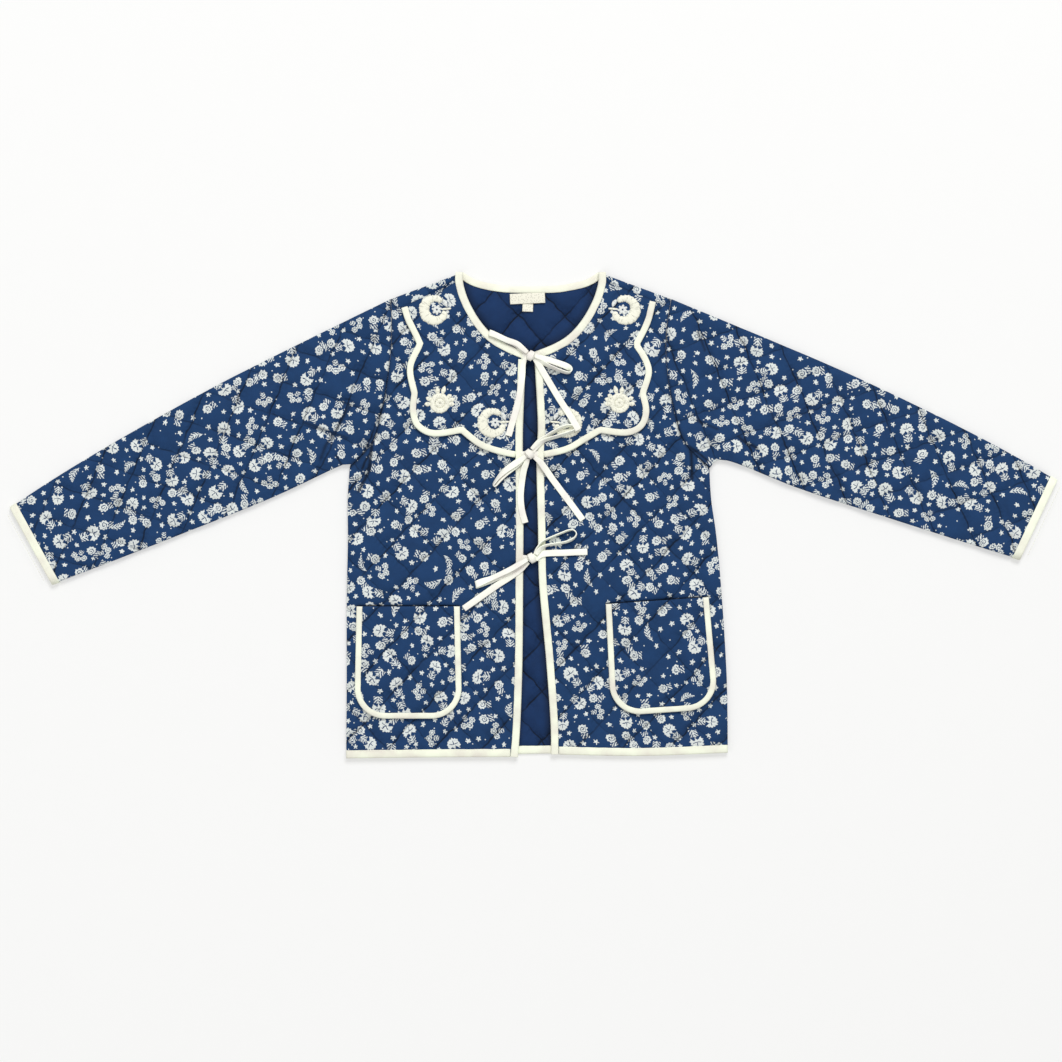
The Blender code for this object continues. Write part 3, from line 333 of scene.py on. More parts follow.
# Where each panel was cut from the printed cloth
PRINT_DRIFT = {
    ("front", LEFT): (0.0, 0.0),
    ("front", RIGHT): (31.0, 12.0),
    ("sleeve", LEFT): (220.0, -75.0),
    ("sleeve", RIGHT): (-310.0, 160.0),
    ("collar", LEFT): (64.0, -33.0),
    ("collar", RIGHT): (-58.0, 91.0),
    ("pocket", LEFT): (13.0, -47.0),
    ("pocket", RIGHT): (-29.0, 66.0),
}
TO_CELL = (
    ("v_off", "SUBTRACT", "grid_v", "off_v"),
    ("row", "FLOOR", "v_off"),
    ("v_in", "SUBTRACT", "v_off", "row"),
    ("u_shift", "SUBTRACT", "grid_u", "off_u"),
    ("u_off", "MULTIPLY_ADD", "row", -PRINT_SHIFT, "u_shift"),
    ("column", "FLOOR", "u_off"),
    ("u_in", "SUBTRACT", "u_off", "column"),
)
IN_CELL = (
    ("u_from", "SUBTRACT", "u_in", 0.5),
    ("v_from", "SUBTRACT", "v_in", 0.5),
    ("u_mid", "SUBTRACT", "red", 0.5),
    ("v_mid", "SUBTRACT", "green", 0.5),
    ("u_stray", "MULTIPLY", "u_mid", "stray"),
    ("v_stray", "MULTIPLY", "v_mid", "stray"),
    ("u_mm", "MULTIPLY_ADD", "u_from", PRINT_CELL, "u_stray"),
    ("v_mm", "MULTIPLY_ADD", "v_from", PRINT_CELL, "v_stray"),
    ("turned", "MULTIPLY", "blue", 2.0 * math.pi),
    ("cosine", "COSINE", "turned"),
    ("sine", "SINE", "turned"),
    ("x_part", "MULTIPLY", "u_mm", "cosine"),
    ("x", "MULTIPLY_ADD", "v_mm", "sine", "x_part"),
    ("y_part", "MULTIPLY", "v_mm", "cosine"),
    ("y_rest", "MULTIPLY", "u_mm", "sine"),
    ("y", "SUBTRACT", "y_part", "y_rest"),
    ("aside", "ABSOLUTE", "x"),
    ("x_square", "MULTIPLY", "x", "x"),
)


def bloom_rows(across, across_square, up, lobes, depth, radius):
    """Rows for a round flower with lobes on its edge."""
    return (
        ("square", "MULTIPLY_ADD", up, up, across_square),
        ("reach", "SQRT", "square"),
        ("turn", "ARCTAN2", across, up),
        ("lobes", "MULTIPLY", "turn", lobes),
        ("wave", "COSINE", "lobes"),
        ("edge", "MULTIPLY_ADD", "wave", depth, radius),
        ("disc", "SUBTRACT", "edge", "reach"),
    )


def leaf_rows(slant, pitch, half):
    """Rows for a ladder of slanting leaves, half as a share of the pitch."""
    return (
        ("rung", "DIVIDE", slant, pitch),
        ("rung_part", "FRACT", "rung"),
        ("rung_mid", "SUBTRACT", "rung_part", 0.5),
        ("rung_off", "ABSOLUTE", "rung_mid"),
        ("rung_in", "SUBTRACT", half, "rung_off"),
        ("rung_mm", "MULTIPLY", "rung_in", pitch),
    )


def line_rows(family, other):
    """Rows for the distance to the nearest line of a family of stitching, and the run along it."""
    return (
        (family + "_up", "ADD", family, 0.5),
        (family + "_part", "FRACT", family + "_up"),
        (family + "_mid", "SUBTRACT", family + "_part", 0.5),
        (family + "_off", "ABSOLUTE", family + "_mid"),
        (family + "_mm", "MULTIPLY", family + "_off", QUILT_PITCH),
        (family + "_run", "MULTIPLY", other, QUILT_PITCH * 2.0 * math.pi / PUCKER),
    )


# A fan of petals, open at the foot, on a stem with rows of leaves
PINK = (
    ("rise", "SUBTRACT", "y", 1.6),
    *bloom_rows("x", "x_square", "rise", 14.0, 0.45, 6.4),
    ("wide", "ABSOLUTE", "turn"),
    ("open", "SUBTRACT", 2.25, "wide"),
    ("bite", "MULTIPLY", "open", "reach"),
    ("fan", "MINIMUM", "disc", "bite"),
    ("cuts", "MULTIPLY", "turn", 2.5),
    ("cut_sine", "SINE", "cuts"),
    ("cut_off", "ABSOLUTE", "cut_sine"),
    ("cut_mm", "MULTIPLY", "cut_off", "reach"),
    ("cut", "SUBTRACT", "cut_mm", 0.9),
    ("beyond", "SUBTRACT", "reach", 4.4),
    ("uncut", "MAXIMUM", "cut", "beyond"),
    ("petals", "MINIMUM", "fan", "uncut"),
    ("hip_rise", "ADD", "rise", 1.3),
    ("hip_square", "MULTIPLY_ADD", "hip_rise", "hip_rise", "x_square"),
    ("hip_reach", "SQRT", "hip_square"),
    ("hip", "SUBTRACT", 1.5, "hip_reach"),
    ("bloom", "MAXIMUM", "petals", "hip"),
    ("stem_side", "SUBTRACT", 0.4, "aside"),
    ("stem_top", "SUBTRACT", -0.6, "rise"),
    ("stem_foot", "ADD", "rise", 12.2),
    ("stem_run", "MINIMUM", "stem_top", "stem_foot"),
    ("stem", "MINIMUM", "stem_side", "stem_run"),
    ("slant", "MULTIPLY_ADD", "aside", -0.9, "rise"),
    *leaf_rows("slant", 2.7, 0.24),
    ("leaf_side", "SUBTRACT", 4.0, "aside"),
    ("leaf_top", "SUBTRACT", -5.2, "rise"),
    ("leaf_run", "MINIMUM", "leaf_top", "stem_foot"),
    ("leaf_area", "MINIMUM", "leaf_side", "leaf_run"),
    ("leaves", "MINIMUM", "rung_mm", "leaf_area"),
    ("greens", "MAXIMUM", "stem", "leaves"),
    ("motif", "MAXIMUM", "bloom", "greens"),
)
# Three rosettes on a bow
GARLAND = (
    ("lift", "ADD", "y", 5.2),
    ("bow_turn", "ARCTAN2", "x", "lift"),
    ("bow_share", "DIVIDE", "bow_turn", 0.93),
    ("bow_near", "ROUND", "bow_share"),
    ("bow_top", "MINIMUM", "bow_near", 1.0),
    ("bow_step", "MAXIMUM", "bow_top", -1.0),
    ("bow_fold", "MULTIPLY_ADD", "bow_step", -0.93, "bow_turn"),
    ("bow_square", "MULTIPLY_ADD", "lift", "lift", "x_square"),
    ("bow_reach", "SQRT", "bow_square"),
    ("fold_sine", "SINE", "bow_fold"),
    ("fold_cosine", "COSINE", "bow_fold"),
    ("fold_x", "MULTIPLY", "bow_reach", "fold_sine"),
    ("fold_y", "MULTIPLY_ADD", "bow_reach", "fold_cosine", -6.6),
    ("bead_square", "MULTIPLY", "fold_x", "fold_x"),
    *bloom_rows("fold_x", "bead_square", "fold_y", 8.0, 0.34, 2.85),
    ("bead_from", "SUBTRACT", "reach", 1.45),
    ("bead_off", "ABSOLUTE", "bead_from"),
    ("bead_ring", "SUBTRACT", "bead_off", 0.27),
    ("beads", "MINIMUM", "disc", "bead_ring"),
    ("spray_slant", "MULTIPLY_ADD", "aside", 0.7, "y"),
    *leaf_rows("spray_slant", 2.2, 0.27),
    ("spray_side", "SUBTRACT", 2.3, "aside"),
    ("spray_top", "SUBTRACT", -3.2, "y"),
    ("spray_foot", "ADD", "y", 8.6),
    ("spray_run", "MINIMUM", "spray_top", "spray_foot"),
    ("spray_area", "MINIMUM", "spray_side", "spray_run"),
    ("spray", "MINIMUM", "rung_mm", "spray_area"),
    ("motif", "MAXIMUM", "beads", "spray"),
)
# A bent stem with leaves on both sides
SPRIG = (
    ("bend", "MULTIPLY", "y", "y"),
    ("bent", "MULTIPLY_ADD", "bend", -0.05, "x"),
    ("off", "ABSOLUTE", "bent"),
    ("slant", "MULTIPLY_ADD", "off", -1.0, "y"),
    *leaf_rows("slant", 2.8, 0.25),
    ("y_square", "MULTIPLY", "bend", -0.042),
    ("taper", "ADD", "y_square", 3.1),
    ("leaf_side", "SUBTRACT", "taper", "off"),
    ("leaves", "MINIMUM", "rung_mm", "leaf_side"),
    ("stem_side", "SUBTRACT", 0.38, "off"),
    ("up", "ABSOLUTE", "y"),
    ("stem_run", "SUBTRACT", 8.2, "up"),
    ("stem", "MINIMUM", "stem_side", "stem_run"),
    ("motif", "MAXIMUM", "stem", "leaves"),
)
# A round rosette with a row of leaves beside it
ROSETTE = (
    *bloom_rows("x", "x_square", "y", 9.0, 0.4, 4.3),
    ("swirl", "DIVIDE", "turn", 2.0 * math.pi),
    ("spiral", "MULTIPLY_ADD", "reach", 1.0 / 2.0, "swirl"),
    ("spiral_part", "FRACT", "spiral"),
    ("spiral_mid", "SUBTRACT", "spiral_part", 0.5),
    ("spiral_off", "ABSOLUTE", "spiral_mid"),
    ("spiral_gap", "SUBTRACT", "spiral_off", 0.17),
    ("spiral_mm", "MULTIPLY", "spiral_gap", 2.0),
    ("rim", "SUBTRACT", "reach", 3.0),
    ("inside", "MAXIMUM", "spiral_mm", "rim"),
    ("flower", "MINIMUM", "disc", "inside"),
    ("patch_x", "SUBTRACT", "x", 6.9),
    ("patch_off", "ABSOLUTE", "patch_x"),
    ("patch_side", "SUBTRACT", 1.9, "patch_off"),
    ("patch_slant", "MULTIPLY_ADD", "x", 0.8, "y"),
    *leaf_rows("patch_slant", 2.8, 0.25),
    ("up", "ABSOLUTE", "y"),
    ("patch_end", "SUBTRACT", 3.4, "up"),
    ("patch_area", "MINIMUM", "patch_side", "patch_end"),
    ("leaf", "MINIMUM", "rung_mm", "patch_area"),
    ("motif", "MAXIMUM", "flower", "leaf"),
)
# A small flower of five petals
STAR = bloom_rows("x", "x_square", "y", 5.0, 0.66, 1.9)
# Lines of the quilting, in two families
QUILT_LINES = (
    ("across", "DIVIDE", "u", DIAMOND_WIDE),
    ("first", "MULTIPLY_ADD", "v", 1.0 / DIAMOND_TALL, "across"),
    ("second", "MULTIPLY_ADD", "v", -1.0 / DIAMOND_TALL, "across"),
    *line_rows("first", "second"),
    *line_rows("second", "first"),
)


def linear(colour):
    """An sRGB hex colour as linear red, green and blue."""
    parts = [int(colour[i : i + 2], 16) / 255.0 for i in (0, 2, 4)]
    return tuple(part / 12.92 if part <= 0.04045 else ((part + 0.055) / 1.055) ** 2.4 for part in parts)


class JacketCloth(bpy.types.PropertyGroup):
    ground: FloatVectorProperty(
        name="Ground", description="Dyed ground of the print", subtype="COLOR", default=linear("13365f")
    )
    ink: FloatVectorProperty(
        name="Flowers", description="Flowers of the print", subtype="COLOR", default=linear("dadfdb")
    )
    lining: FloatVectorProperty(
        name="Lining", description="Plain cloth inside the jacket", subtype="COLOR", default=linear("0d2c55")
    )
    puff: FloatProperty(
        name="Puff", description="Rise of a diamond above its stitching", default=1.1 * MM, unit="LENGTH"
    )
    over_puff: FloatProperty(
        name="Collar puff", description="The same on the collar and pockets", default=0.9 * MM, unit="LENGTH"
    )
    cells: IntProperty(
        name="Cells", description="Cuts of the cloth across one diamond", default=14, min=4, max=20
    )


class JacketTrim(bpy.types.PropertyGroup):
    binding: FloatVectorProperty(
        name="Binding", description="Bias binding", subtype="COLOR", default=linear("eff0de")
    )
    tie: FloatVectorProperty(name="Ties", description="Flat ties", subtype="COLOR", default=linear("f8f8ec"))
    thread: FloatVectorProperty(
        name="Thread", description="Embroidery thread", subtype="COLOR", default=linear("f2f1df")
    )
    crown: FloatProperty(
        name="Crown", description="Rise of a binding's middle", default=0.3 * MM, unit="LENGTH"
    )
    stitch: FloatProperty(
        name="Stitch", description="Length of a stitch of the topstitching", default=2.3 * MM, unit="LENGTH"
    )


class JacketStage(bpy.types.PropertyGroup):
    view: FloatProperty(
        name="View", description="Width of the picture at the cloth", default=1.062, unit="LENGTH"
    )
    height: FloatProperty(
        name="Camera height", description="Camera above the floor", default=3.4, unit="LENGTH"
    )
    floor: FloatVectorProperty(
        name="Floor", description="Plain pale floor", subtype="COLOR", default=linear("eeeeed")
    )


# Plane curves

def cubic(before, start, end, after, share):
    """One coordinate of a curve through start and end, aimed by the points on either side."""
    pull = end - before
    push = after - start
    rest = 1.0 - share
    hermite = start * (1 + 2 * share) * rest**2 + end * (3 - 2 * share) * share**2
    return hermite + 0.5 * share * rest * (pull * rest - push * share)


def smooth(points, step):
    """Points about step apart on a smooth curve through the given ones, in two or three dimensions."""
    line = []
    last = len(points) - 1
    for i in range(last):
        around = (points[max(i - 1, 0)], points[i], points[i + 1], points[min(i + 2, last)])
        count = max(1, round(math.dist(points[i], points[i + 1]) / step))
        for k in range(count):
            line.append(tuple(cubic(*four, k / count) for four in zip(*around)))
    line.append(tuple(points[-1]))
    return line


def even(line, step):
    """The same line with points at even distances, about step apart."""
    runs = [math.dist(a, b) for a, b in zip(line, line[1:])]
    count = max(1, round(sum(runs) / step))
    made = []
    i, passed = 0, 0.0
    for k in range(count + 1):
        goal = sum(runs) * k / count
        while i < len(runs) - 1 and passed + runs[i] < goal:
            passed += runs[i]
            i += 1
        share = min(1.0, (goal - passed) / runs[i]) if runs[i] else 0.0
        made.append(tuple(a + share * (b - a) for a, b in zip(line[i], line[i + 1])))
    return made


def arc(start, end, bulge, step):
    """Points on a circular arc from start to end that stands bulge to the left of the straight line."""
    chord = math.dist(start, end)
    half_turn = 2.0 * math.atan(2.0 * bulge / chord)
    radius = chord / (2.0 * math.sin(half_turn))
    heading = math.atan2(end[1] - start[1], end[0] - start[0]) + half_turn
    count = max(2, round(abs(2.0 * half_turn * radius) / step))
    middle = (start[0] + radius * math.sin(heading), start[1] - radius * math.cos(heading))
    turned = [heading - 2.0 * half_turn * k / count for k in range(count + 1)]
    return [(middle[0] - radius * math.sin(t), middle[1] + radius * math.cos(t)) for t in turned]


def joined(*stretches):
    """One open line from stretches that meet end to end."""
    line = list(stretches[0])
    for stretch in stretches[1:]:
        line.extend(stretch[1:] if math.dist(line[-1], stretch[0]) < 0.5 else stretch)
    return line


def ring_of(*stretches):
    line = joined(*stretches)
    return line[:-1] if math.dist(line[0], line[-1]) < 0.5 else line


def trimmed(line, start=0.0, end=0.0):
    """The line without its first and last few millimetres."""
    for cut in (start, end):
        while cut > 0:
            step = math.dist(line[0], line[1])
            if step > cut:
                line = [tuple(a + cut / step * (b - a) for a, b in zip(line[0], line[1]))] + line[1:]
            else:
                line = line[1:]
            cut -= step
        line = line[::-1]
    return line


def distance_to(*lines):
    """A function for the distance from a point to the nearest of some lines."""
    points = [point for line in lines for point in even(line, 0.8)]
    tree = KDTree(len(points))
    for i, (x, y) in enumerate(points):
        tree.insert((x, y, 0.0), i)
    tree.balance()
    return lambda x, y: tree.find((x, y, 0.0))[2]


def ease(value):
    value = max(0.0, min(1.0, value))
    return value * value * (3.0 - 2.0 * value)


def beside(distance, reach):
    """One on a line, falling to nought at its reach."""
    return max(0.0, 1.0 - distance / reach)


def off_rim(distance):
    """Nought under a binding, one in the open cloth."""
    return ease((distance - EDGE_ZONE) / EDGE_RAMP)


def at_rim(distance):
    """One under a binding, nought in the open cloth."""
    return ease((EDGE_ZONE + EDGE_RAMP - distance) / EDGE_RAMP)


def armhole_shade(distance, y):
    """Painted shade in the armhole seam at a point: deeper lower down, where the cloth is drawn together."""
    return (0.4 + 0.4 * ease((170.0 - y) / 100.0)) * beside(distance, 2.4)


# The pattern pieces' edges, each running the way the left piece is cut, anticlockwise

def column(table, side):
    return [(row[1] if side == LEFT else row[2], row[0]) for row in table]


def shoulder_point(side):
    return column(ARMHOLE, side)[0]


def neck_tip(side):
    out, height = FRONT_NECK[-1]
    return (NECK_MIDDLE + side * out, height)


def front_edges(side):
    """Named edges of one front, from the hem up the front edge and round."""
    front = smooth(column(FRONT_EDGE, side), 4.0)[::-1]
    side_height, halfway, front_height = HEM[side]
    front[0] = (front[0][0], front_height)
    neck = smooth([front[-1]] + [(NECK_MIDDLE + side * out, height) for out, height in FRONT_NECK], 3.0)
    side_line = smooth(column(SIDE_EDGE, side), 4.0)
    side_line[-1] = (side_line[-1][0], side_height)
    middle = ((side_line[-1][0] + front[0][0]) / 2.0, halfway)
    return {
        "front": front,
        "neck": neck,
        "shoulder": even([neck[-1], shoulder_point(side)], 4.0),
        "armhole": smooth(column(ARMHOLE, side), 3.0),
        "side": side_line,
        "hem": smooth([side_line[-1], middle, front[0]], 4.0),
    }


def back_edges():
    """Named edges of the back, from the right side of the neck round to the left and down."""
    across = [(NECK_MIDDLE + out, height) for out, height in BACK_NECK[::-1]]
    across += [(NECK_MIDDLE - out, height) for out, height in BACK_NECK[1:]]
    edges = {"neck": smooth(across, 3.0)}
    for side in SIDES:
        side_line = smooth(column(SIDE_EDGE, side), 4.0)
        side_line[-1] = (side_line[-1][0], BACK_HEM[side])
        edges["shoulder", side] = even([neck_tip(side), shoulder_point(side)], 4.0)
        edges["armhole", side] = smooth(column(ARMHOLE, side), 3.0)
        edges["side", side] = side_line
    ends = [edges["side", side][-1] for side in SIDES]
    edges["hem"] = smooth([ends[0], (0.0, BACK_HEM_MIDDLE), ends[1]], 4.0)
    return edges


def sleeve_place(side, along, drop):
    """A point of the sleeve, from how far it lies along the upper fold's line and below it."""
    angle = math.radians(SLEEVE_ANGLE[side])
    top_x, top_y = shoulder_point(side)
    return (
        top_x + side * (GAP + math.cos(angle) * along - math.sin(angle) * drop),
        top_y - math.sin(angle) * along - math.cos(angle) * drop,
    )


def sleeve_edges(side, inset=0.0, past=0.0):
    """Named edges of a sleeve. An inset and a run past the ends give the outline of its hollow."""
    length = SLEEVE_LENGTH[side]
    upper = [sleeve_place(side, -past, inset)] if past else [sleeve_place(side, 0.0, 0.0)]
    upper += [sleeve_place(side, share * length, inset - rise) for share, rise, _ in SLEEVE_SECTIONS]
    lower = [sleeve_place(side, share * length, drop - inset) for share, _, drop in SLEEVE_SECTIONS[::-1]]
    armhole = [(x + side * (GAP - past), y) for x, y in smooth(column(ARMHOLE, side), 3.0)][::-1]
    if past:
        upper.append(sleeve_place(side, length + past, inset))
        lower.insert(0, sleeve_place(side, length + past, SLEEVE_SECTIONS[-1][2] - inset))
        armhole = [(x, y + inset * 2.0) for x, y in armhole[:12]] + armhole[12:-6]
    lower.append(armhole[0])
    return {
        "upper": smooth(upper, 4.0),
        "cuff": even([upper[-1], lower[0]], 3.0),
        "lower": smooth(lower, 4.0),
        "armhole": armhole,
    }


def front_edge_at(side, height):
    """The point of a front's edge at some height."""
    line = front_edges(side)["front"]
    for (ax, ay), (bx, by) in zip(line, line[1:]):
        if ay <= height <= by:
            return (ax + (bx - ax) * (height - ay) / (by - ay), height)
    return line[0]


def collar_edges(side):
    """Named edges of one half of the collar, over the front."""
    front = front_edges(side)
    scallop = joined(*[smooth(lobe, 2.5) for lobe in SCALLOPS[side]])
    start, foot = scallop[0], COLLAR_FOOT
    edge = [point for point in front["front"] if point[1] > foot + 2.0]
    lowest = front_edge_at(side, foot)
    scallop[-1] = lowest
    neck = trimmed(front["neck"], end=SHOULDER_SEAM)
    shoulder = even([neck[-1], start], 4.0)
    return {"front": [lowest] + edge, "neck": neck, "shoulder": shoulder, "scallop": scallop}


def pocket_place(side, across, down):
    """A point of a pocket, from the middle of its mouth."""
    middle_x, middle_y, turn = POCKET[side]
    angle = math.radians(turn)
    return (
        middle_x + across * math.cos(angle) + down * math.sin(angle),
        middle_y + across * math.sin(angle) - down * math.cos(angle),
    )


def pocket_edges(side):
    """The bound sides and bottom of a pocket, from its upper left corner round, and its mouth."""
    mouth, belly = POCKET_MOUTH / 2.0, POCKET_BELLY / 2.0
    shoulder = POCKET_DEEP - POCKET_CORNER
    bulge = -POCKET_CORNER * (1.0 - math.sqrt(0.5))
    flat = belly - POCKET_CORNER
    corners = [(-mouth, 0.0), (-belly, shoulder), (-flat, POCKET_DEEP)]
    corners += [(-x, y) for x, y in corners[::-1]]
    a, b, c, d, e, f = [pocket_place(side, x, y) for x, y in corners]
    bound = joined(even([a, b], 4.0), arc(b, c, bulge, 2.5), even([c, d], 4.0), arc(d, e, bulge, 2.5))
    return {"bound": joined(bound, even([e, f], 4.0)), "mouth": even([f, a], 4.0)}


# Quilting

def body_place(x, y):
    """A point of the body in the cloth's own millimetres, measured from a crossing of the stitching."""
    return x - QUILT_AT[0], y - QUILT_AT[1]


def back_place(x, y):
    """The same for the back."""
    return x - BACK_QUILT_AT[0], y - BACK_QUILT_AT[1]


def sleeve_cloth(side):
    """The same for a sleeve, whose cloth runs along it."""
    angle = math.radians(SLEEVE_GRAIN)
    at_x, at_y = SLEEVE_QUILT_AT[side]

    def place(x, y):
        along = side * (x - at_x) * math.cos(angle) - (y - at_y) * math.sin(angle)
        down = -side * (x - at_x) * math.sin(angle) - (y - at_y) * math.cos(angle)
        return down, along

    return place


def stitched(place, x, y):
    """Where a point lies between the two families of stitched lines, in diamonds."""
    across, up = place(x, y)
    return across / DIAMOND_WIDE + up / DIAMOND_TALL, across / DIAMOND_WIDE - up / DIAMOND_TALL


def pillow(place, x, y):
    """Share of the full puff at a point: none on the stitching, all in a diamond's middle."""
    share = 1.0
    for value in stitched(place, x, y):
        share *= abs(math.sin(math.pi * value))
    return share**0.6


def creases_of(part, side):
    """A function for how deep a point lies in the creases of a panel, as a share and in millimetres."""
    table = [(distance_to(line), half, depth) for line, half, depth in CREASES[part, side]]

    def crease_at(x, y):
        shares = [((1.0 - near(x, y) / half) * min(1.0, depth), depth) for near, half, depth in table]
        share, depth = max(shares)
        return max(0.0, share), depth * ease(share)

    return crease_at


def slack_rise(folds, x, y):
    """How far slack cloth lifts at a point."""
    rise = 0.0
    for (ax, ay), (bx, by), half, most in folds:
        run = (bx - ax) ** 2 + (by - ay) ** 2
        share = max(0.0, min(1.0, ((x - ax) * (bx - ax) + (y - ay) * (by - ay)) / run))
        off = math.hypot(ax + share * (bx - ax) - x, ay + share * (by - ay) - y)
        rise = max(rise, most * ease(1.0 - off / half))
    return rise


# Meshes

def object_of(name, bm, material):
    """Makes an object of a mesh."""
    mesh = bpy.data.meshes.new(name)
    bm.to_mesh(mesh)
    bm.free()
    mesh.materials.append(material)
    made = bpy.data.objects.new(name, mesh)
    bpy.context.scene.collection.objects.link(made)
    return made


def finish_piece(name, bm, material, slot, *nodes):
    """Makes a smooth object of a mesh, rides it on the garment and lets it stand for its solids."""
    piece = object_of(name, bm, material)
    for face in piece.data.polygons:
        face.use_smooth = True
    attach(piece, "root")
    if nodes:
        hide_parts(*nodes)
    return piece


def bisected(bm, faces, point, normal):
    """Cuts some faces by an upright plane through a point, and gives the faces that this leaves."""
    edges = {edge for face in faces for edge in face.edges}
    verts = {vert for face in faces for vert in face.verts}
    made = bmesh.ops.bisect_plane(
        bm,
        geom=[*verts, *edges, *faces],
        dist=1e-6,
        plane_co=(point[0] * MM, point[1] * MM, 0.0),
        plane_no=(*normal, 0.0),
    )
    return made_of(made, bmesh.types.BMFace)


def made_of(made, kind):
    """What an operator made, of one kind."""
    return [item for item in made["geom"] if isinstance(item, kind)]


def cut_on_stitching(bm, place, cells):
    """Cuts a flat face along both families of lines, several cuts to a diamond."""
    for family in (0, 1):
        base = stitched(place, 0.0, 0.0)[family]
        grow = (
            stitched(place, 1.0, 0.0)[family] - base,
            stitched(place, 0.0, 1.0)[family] - base,
        )
        size = grow[0] ** 2 + grow[1] ** 2

        def value_at(point):
            return base + grow[0] * point.x / MM + grow[1] * point.y / MM

        values = [value_at(vert.co) for vert in bm.verts]
        rest = bm.faces[:]
        for k in range(math.ceil(min(values) * cells), math.floor(max(values) * cells) + 1):
            share = (k / cells - base) / size
            faces = bisected(bm, rest, (grow[0] * share, grow[1] * share), grow)
            rest = [face for face in faces if value_at(face.calc_center_median()) > k / cells]


def cut_beside(bm, line, half):
    """Cuts the faces along a line and on both sides of it, so that a crease there is sharp."""
    near = distance_to(line)
    for (ax, ay), (bx, by) in zip(line, line[1:]):
        size = math.dist((ax, ay), (bx, by))
        aside = (-(by - ay) / size, (bx - ax) / size)
        for off in (-half, 0.0, half):
            faces = []
            for face in bm.faces:
                middle = face.calc_center_median() / MM
                along = (middle.x - ax) * (bx - ax) + (middle.y - ay) * (by - ay)
                if -4.0 * size < along < size * (size + 4.0) and near(middle.x, middle.y) < half + 3.0:
                    faces.append(face)
            bisected(bm, faces, (ax + aside[0] * off, ay + aside[1] * off), aside)


def spot_of(vert):
    return round(vert.co.x, 8), round(vert.co.y, 8)


def quilted(outline, place, heights, cells, shade=None, lines=(), drift=(0.0, 0.0)):
    """A closed sheet: a top cut on the stitching, walls and a bottom.

    heights gives the bottom and the top at a point, and shade how much painted shade darkens its colour
    there. The sheet is cut along the lines too. drift shifts the print on it.
    """
    bm = bmesh.new()
    core = bm.faces.new([bm.verts.new((x * MM, y * MM, 0.0)) for x, y in outline])
    core.normal_update()
    if core.normal.z < 0:
        core.normal_flip()
    cut_on_stitching(bm, place, cells)
    for line, half in lines:
        cut_beside(bm, line, half)
    bmesh.ops.remove_doubles(bm, verts=bm.verts[:], dist=0.15 * MM)
    # Painted shade, from nought to one, that darkens the colour in creases, seams and the shadows of other
    # pieces
    painted_shade = bm.verts.layers.float.new("painted_shade")
    for vert in bm.verts:
        vert[painted_shade] = shade(vert.co.x / MM, vert.co.y / MM) if shade else 0.0
    top = bm.verts[:]
    edges = [edge for edge in bm.edges if edge.is_boundary]
    levels = {vert: heights(vert.co.x / MM, vert.co.y / MM) for vert in top}
    rim = {vert for edge in edges for vert in edge.verts}
    spots = {spot_of(vert): levels[vert] for vert in rim}
    outward = {}
    for edge in edges:
        run = edge.verts[1].co - edge.verts[0].co
        side = Vector((run.y, -run.x, 0.0))
        if side.dot(edge.verts[0].co - edge.link_faces[0].calc_center_median()) < 0:
            side.negate()
        for vert in edge.verts:
            spot = spot_of(vert)
            outward[spot] = outward.get(spot, Vector()) + side.normalized()
    made = bmesh.ops.extrude_edge_only(bm, edges=edges)
    edges = [edge for edge in made_of(made, bmesh.types.BMEdge) if edge.is_boundary]
    bottom = bmesh.ops.contextual_create(bm, geom=edges)["faces"]
    for vert in top:
        vert.co.z = levels[vert][1] * MM
    over = {}
    for vert in made_of(made, bmesh.types.BMVert):
        spot = spot_of(vert)
        low, high = spots[spot]
        over[vert] = outward[spot].normalized() * (high - low)
        vert.co.z = low * MM
    bmesh.ops.triangulate(bm, faces=bottom)
    bmesh.ops.recalc_face_normals(bm, faces=bm.faces[:])
    layer = bm.loops.layers.uv.new("cloth")
    printed_at = bm.loops.layers.uv.new("print")
    for face in bm.faces:
        for loop in face.loops:
            spot = loop.vert.co / MM + over.get(loop.vert, Vector())
            across, up = place(spot.x, spot.y)
            loop[layer].uv = (across * MM, up * MM)
            loop[printed_at].uv = ((across + drift[0]) * MM, (up + drift[1]) * MM)
    return bm


def skinned(rows, long_lengths, ring=False):
    """A surface through rows of as many points, each row a closed section.

    Its UV map runs round a section and along the rows, in metres. ring joins the last row to the first.
    """
    count, long = len(rows[0]), len(rows)
    round_lengths = lengths_of([*rows[0], rows[0][0]])
    bm = bmesh.new()
    bmesh.ops.create_grid(bm, x_segments=count, y_segments=long if ring else long - 1, size=1.0)
    layer = bm.loops.layers.uv.new("cloth")
    spots = {}
    for vert in bm.verts:
        i = round((vert.co.x + 1.0) / 2.0 * count)
        j = round((vert.co.y + 1.0) / 2.0 * (long if ring else long - 1))
        spots[vert] = (i, j)
    for face in bm.faces:
        for loop in face.loops:
            i, j = spots[loop.vert]
            loop[layer].uv = (round_lengths[i] * MM, long_lengths[j] * MM)
    for vert, (i, j) in spots.items():
        vert.co = Vector(rows[j % long][i % count]) * MM
    bmesh.ops.remove_doubles(bm, verts=bm.verts[:], dist=1e-6)
    if not ring:
        bmesh.ops.holes_fill(bm, edges=[edge for edge in bm.edges if edge.is_boundary], sides=0)
    bmesh.ops.recalc_face_normals(bm, faces=bm.faces[:])
    return bm


def lengths_of(points):
    """Distance along a line at each of its points."""
    made = [0.0]
    for a, b in zip(points, points[1:]):
        made.append(made[-1] + math.dist(a, b))
    return made


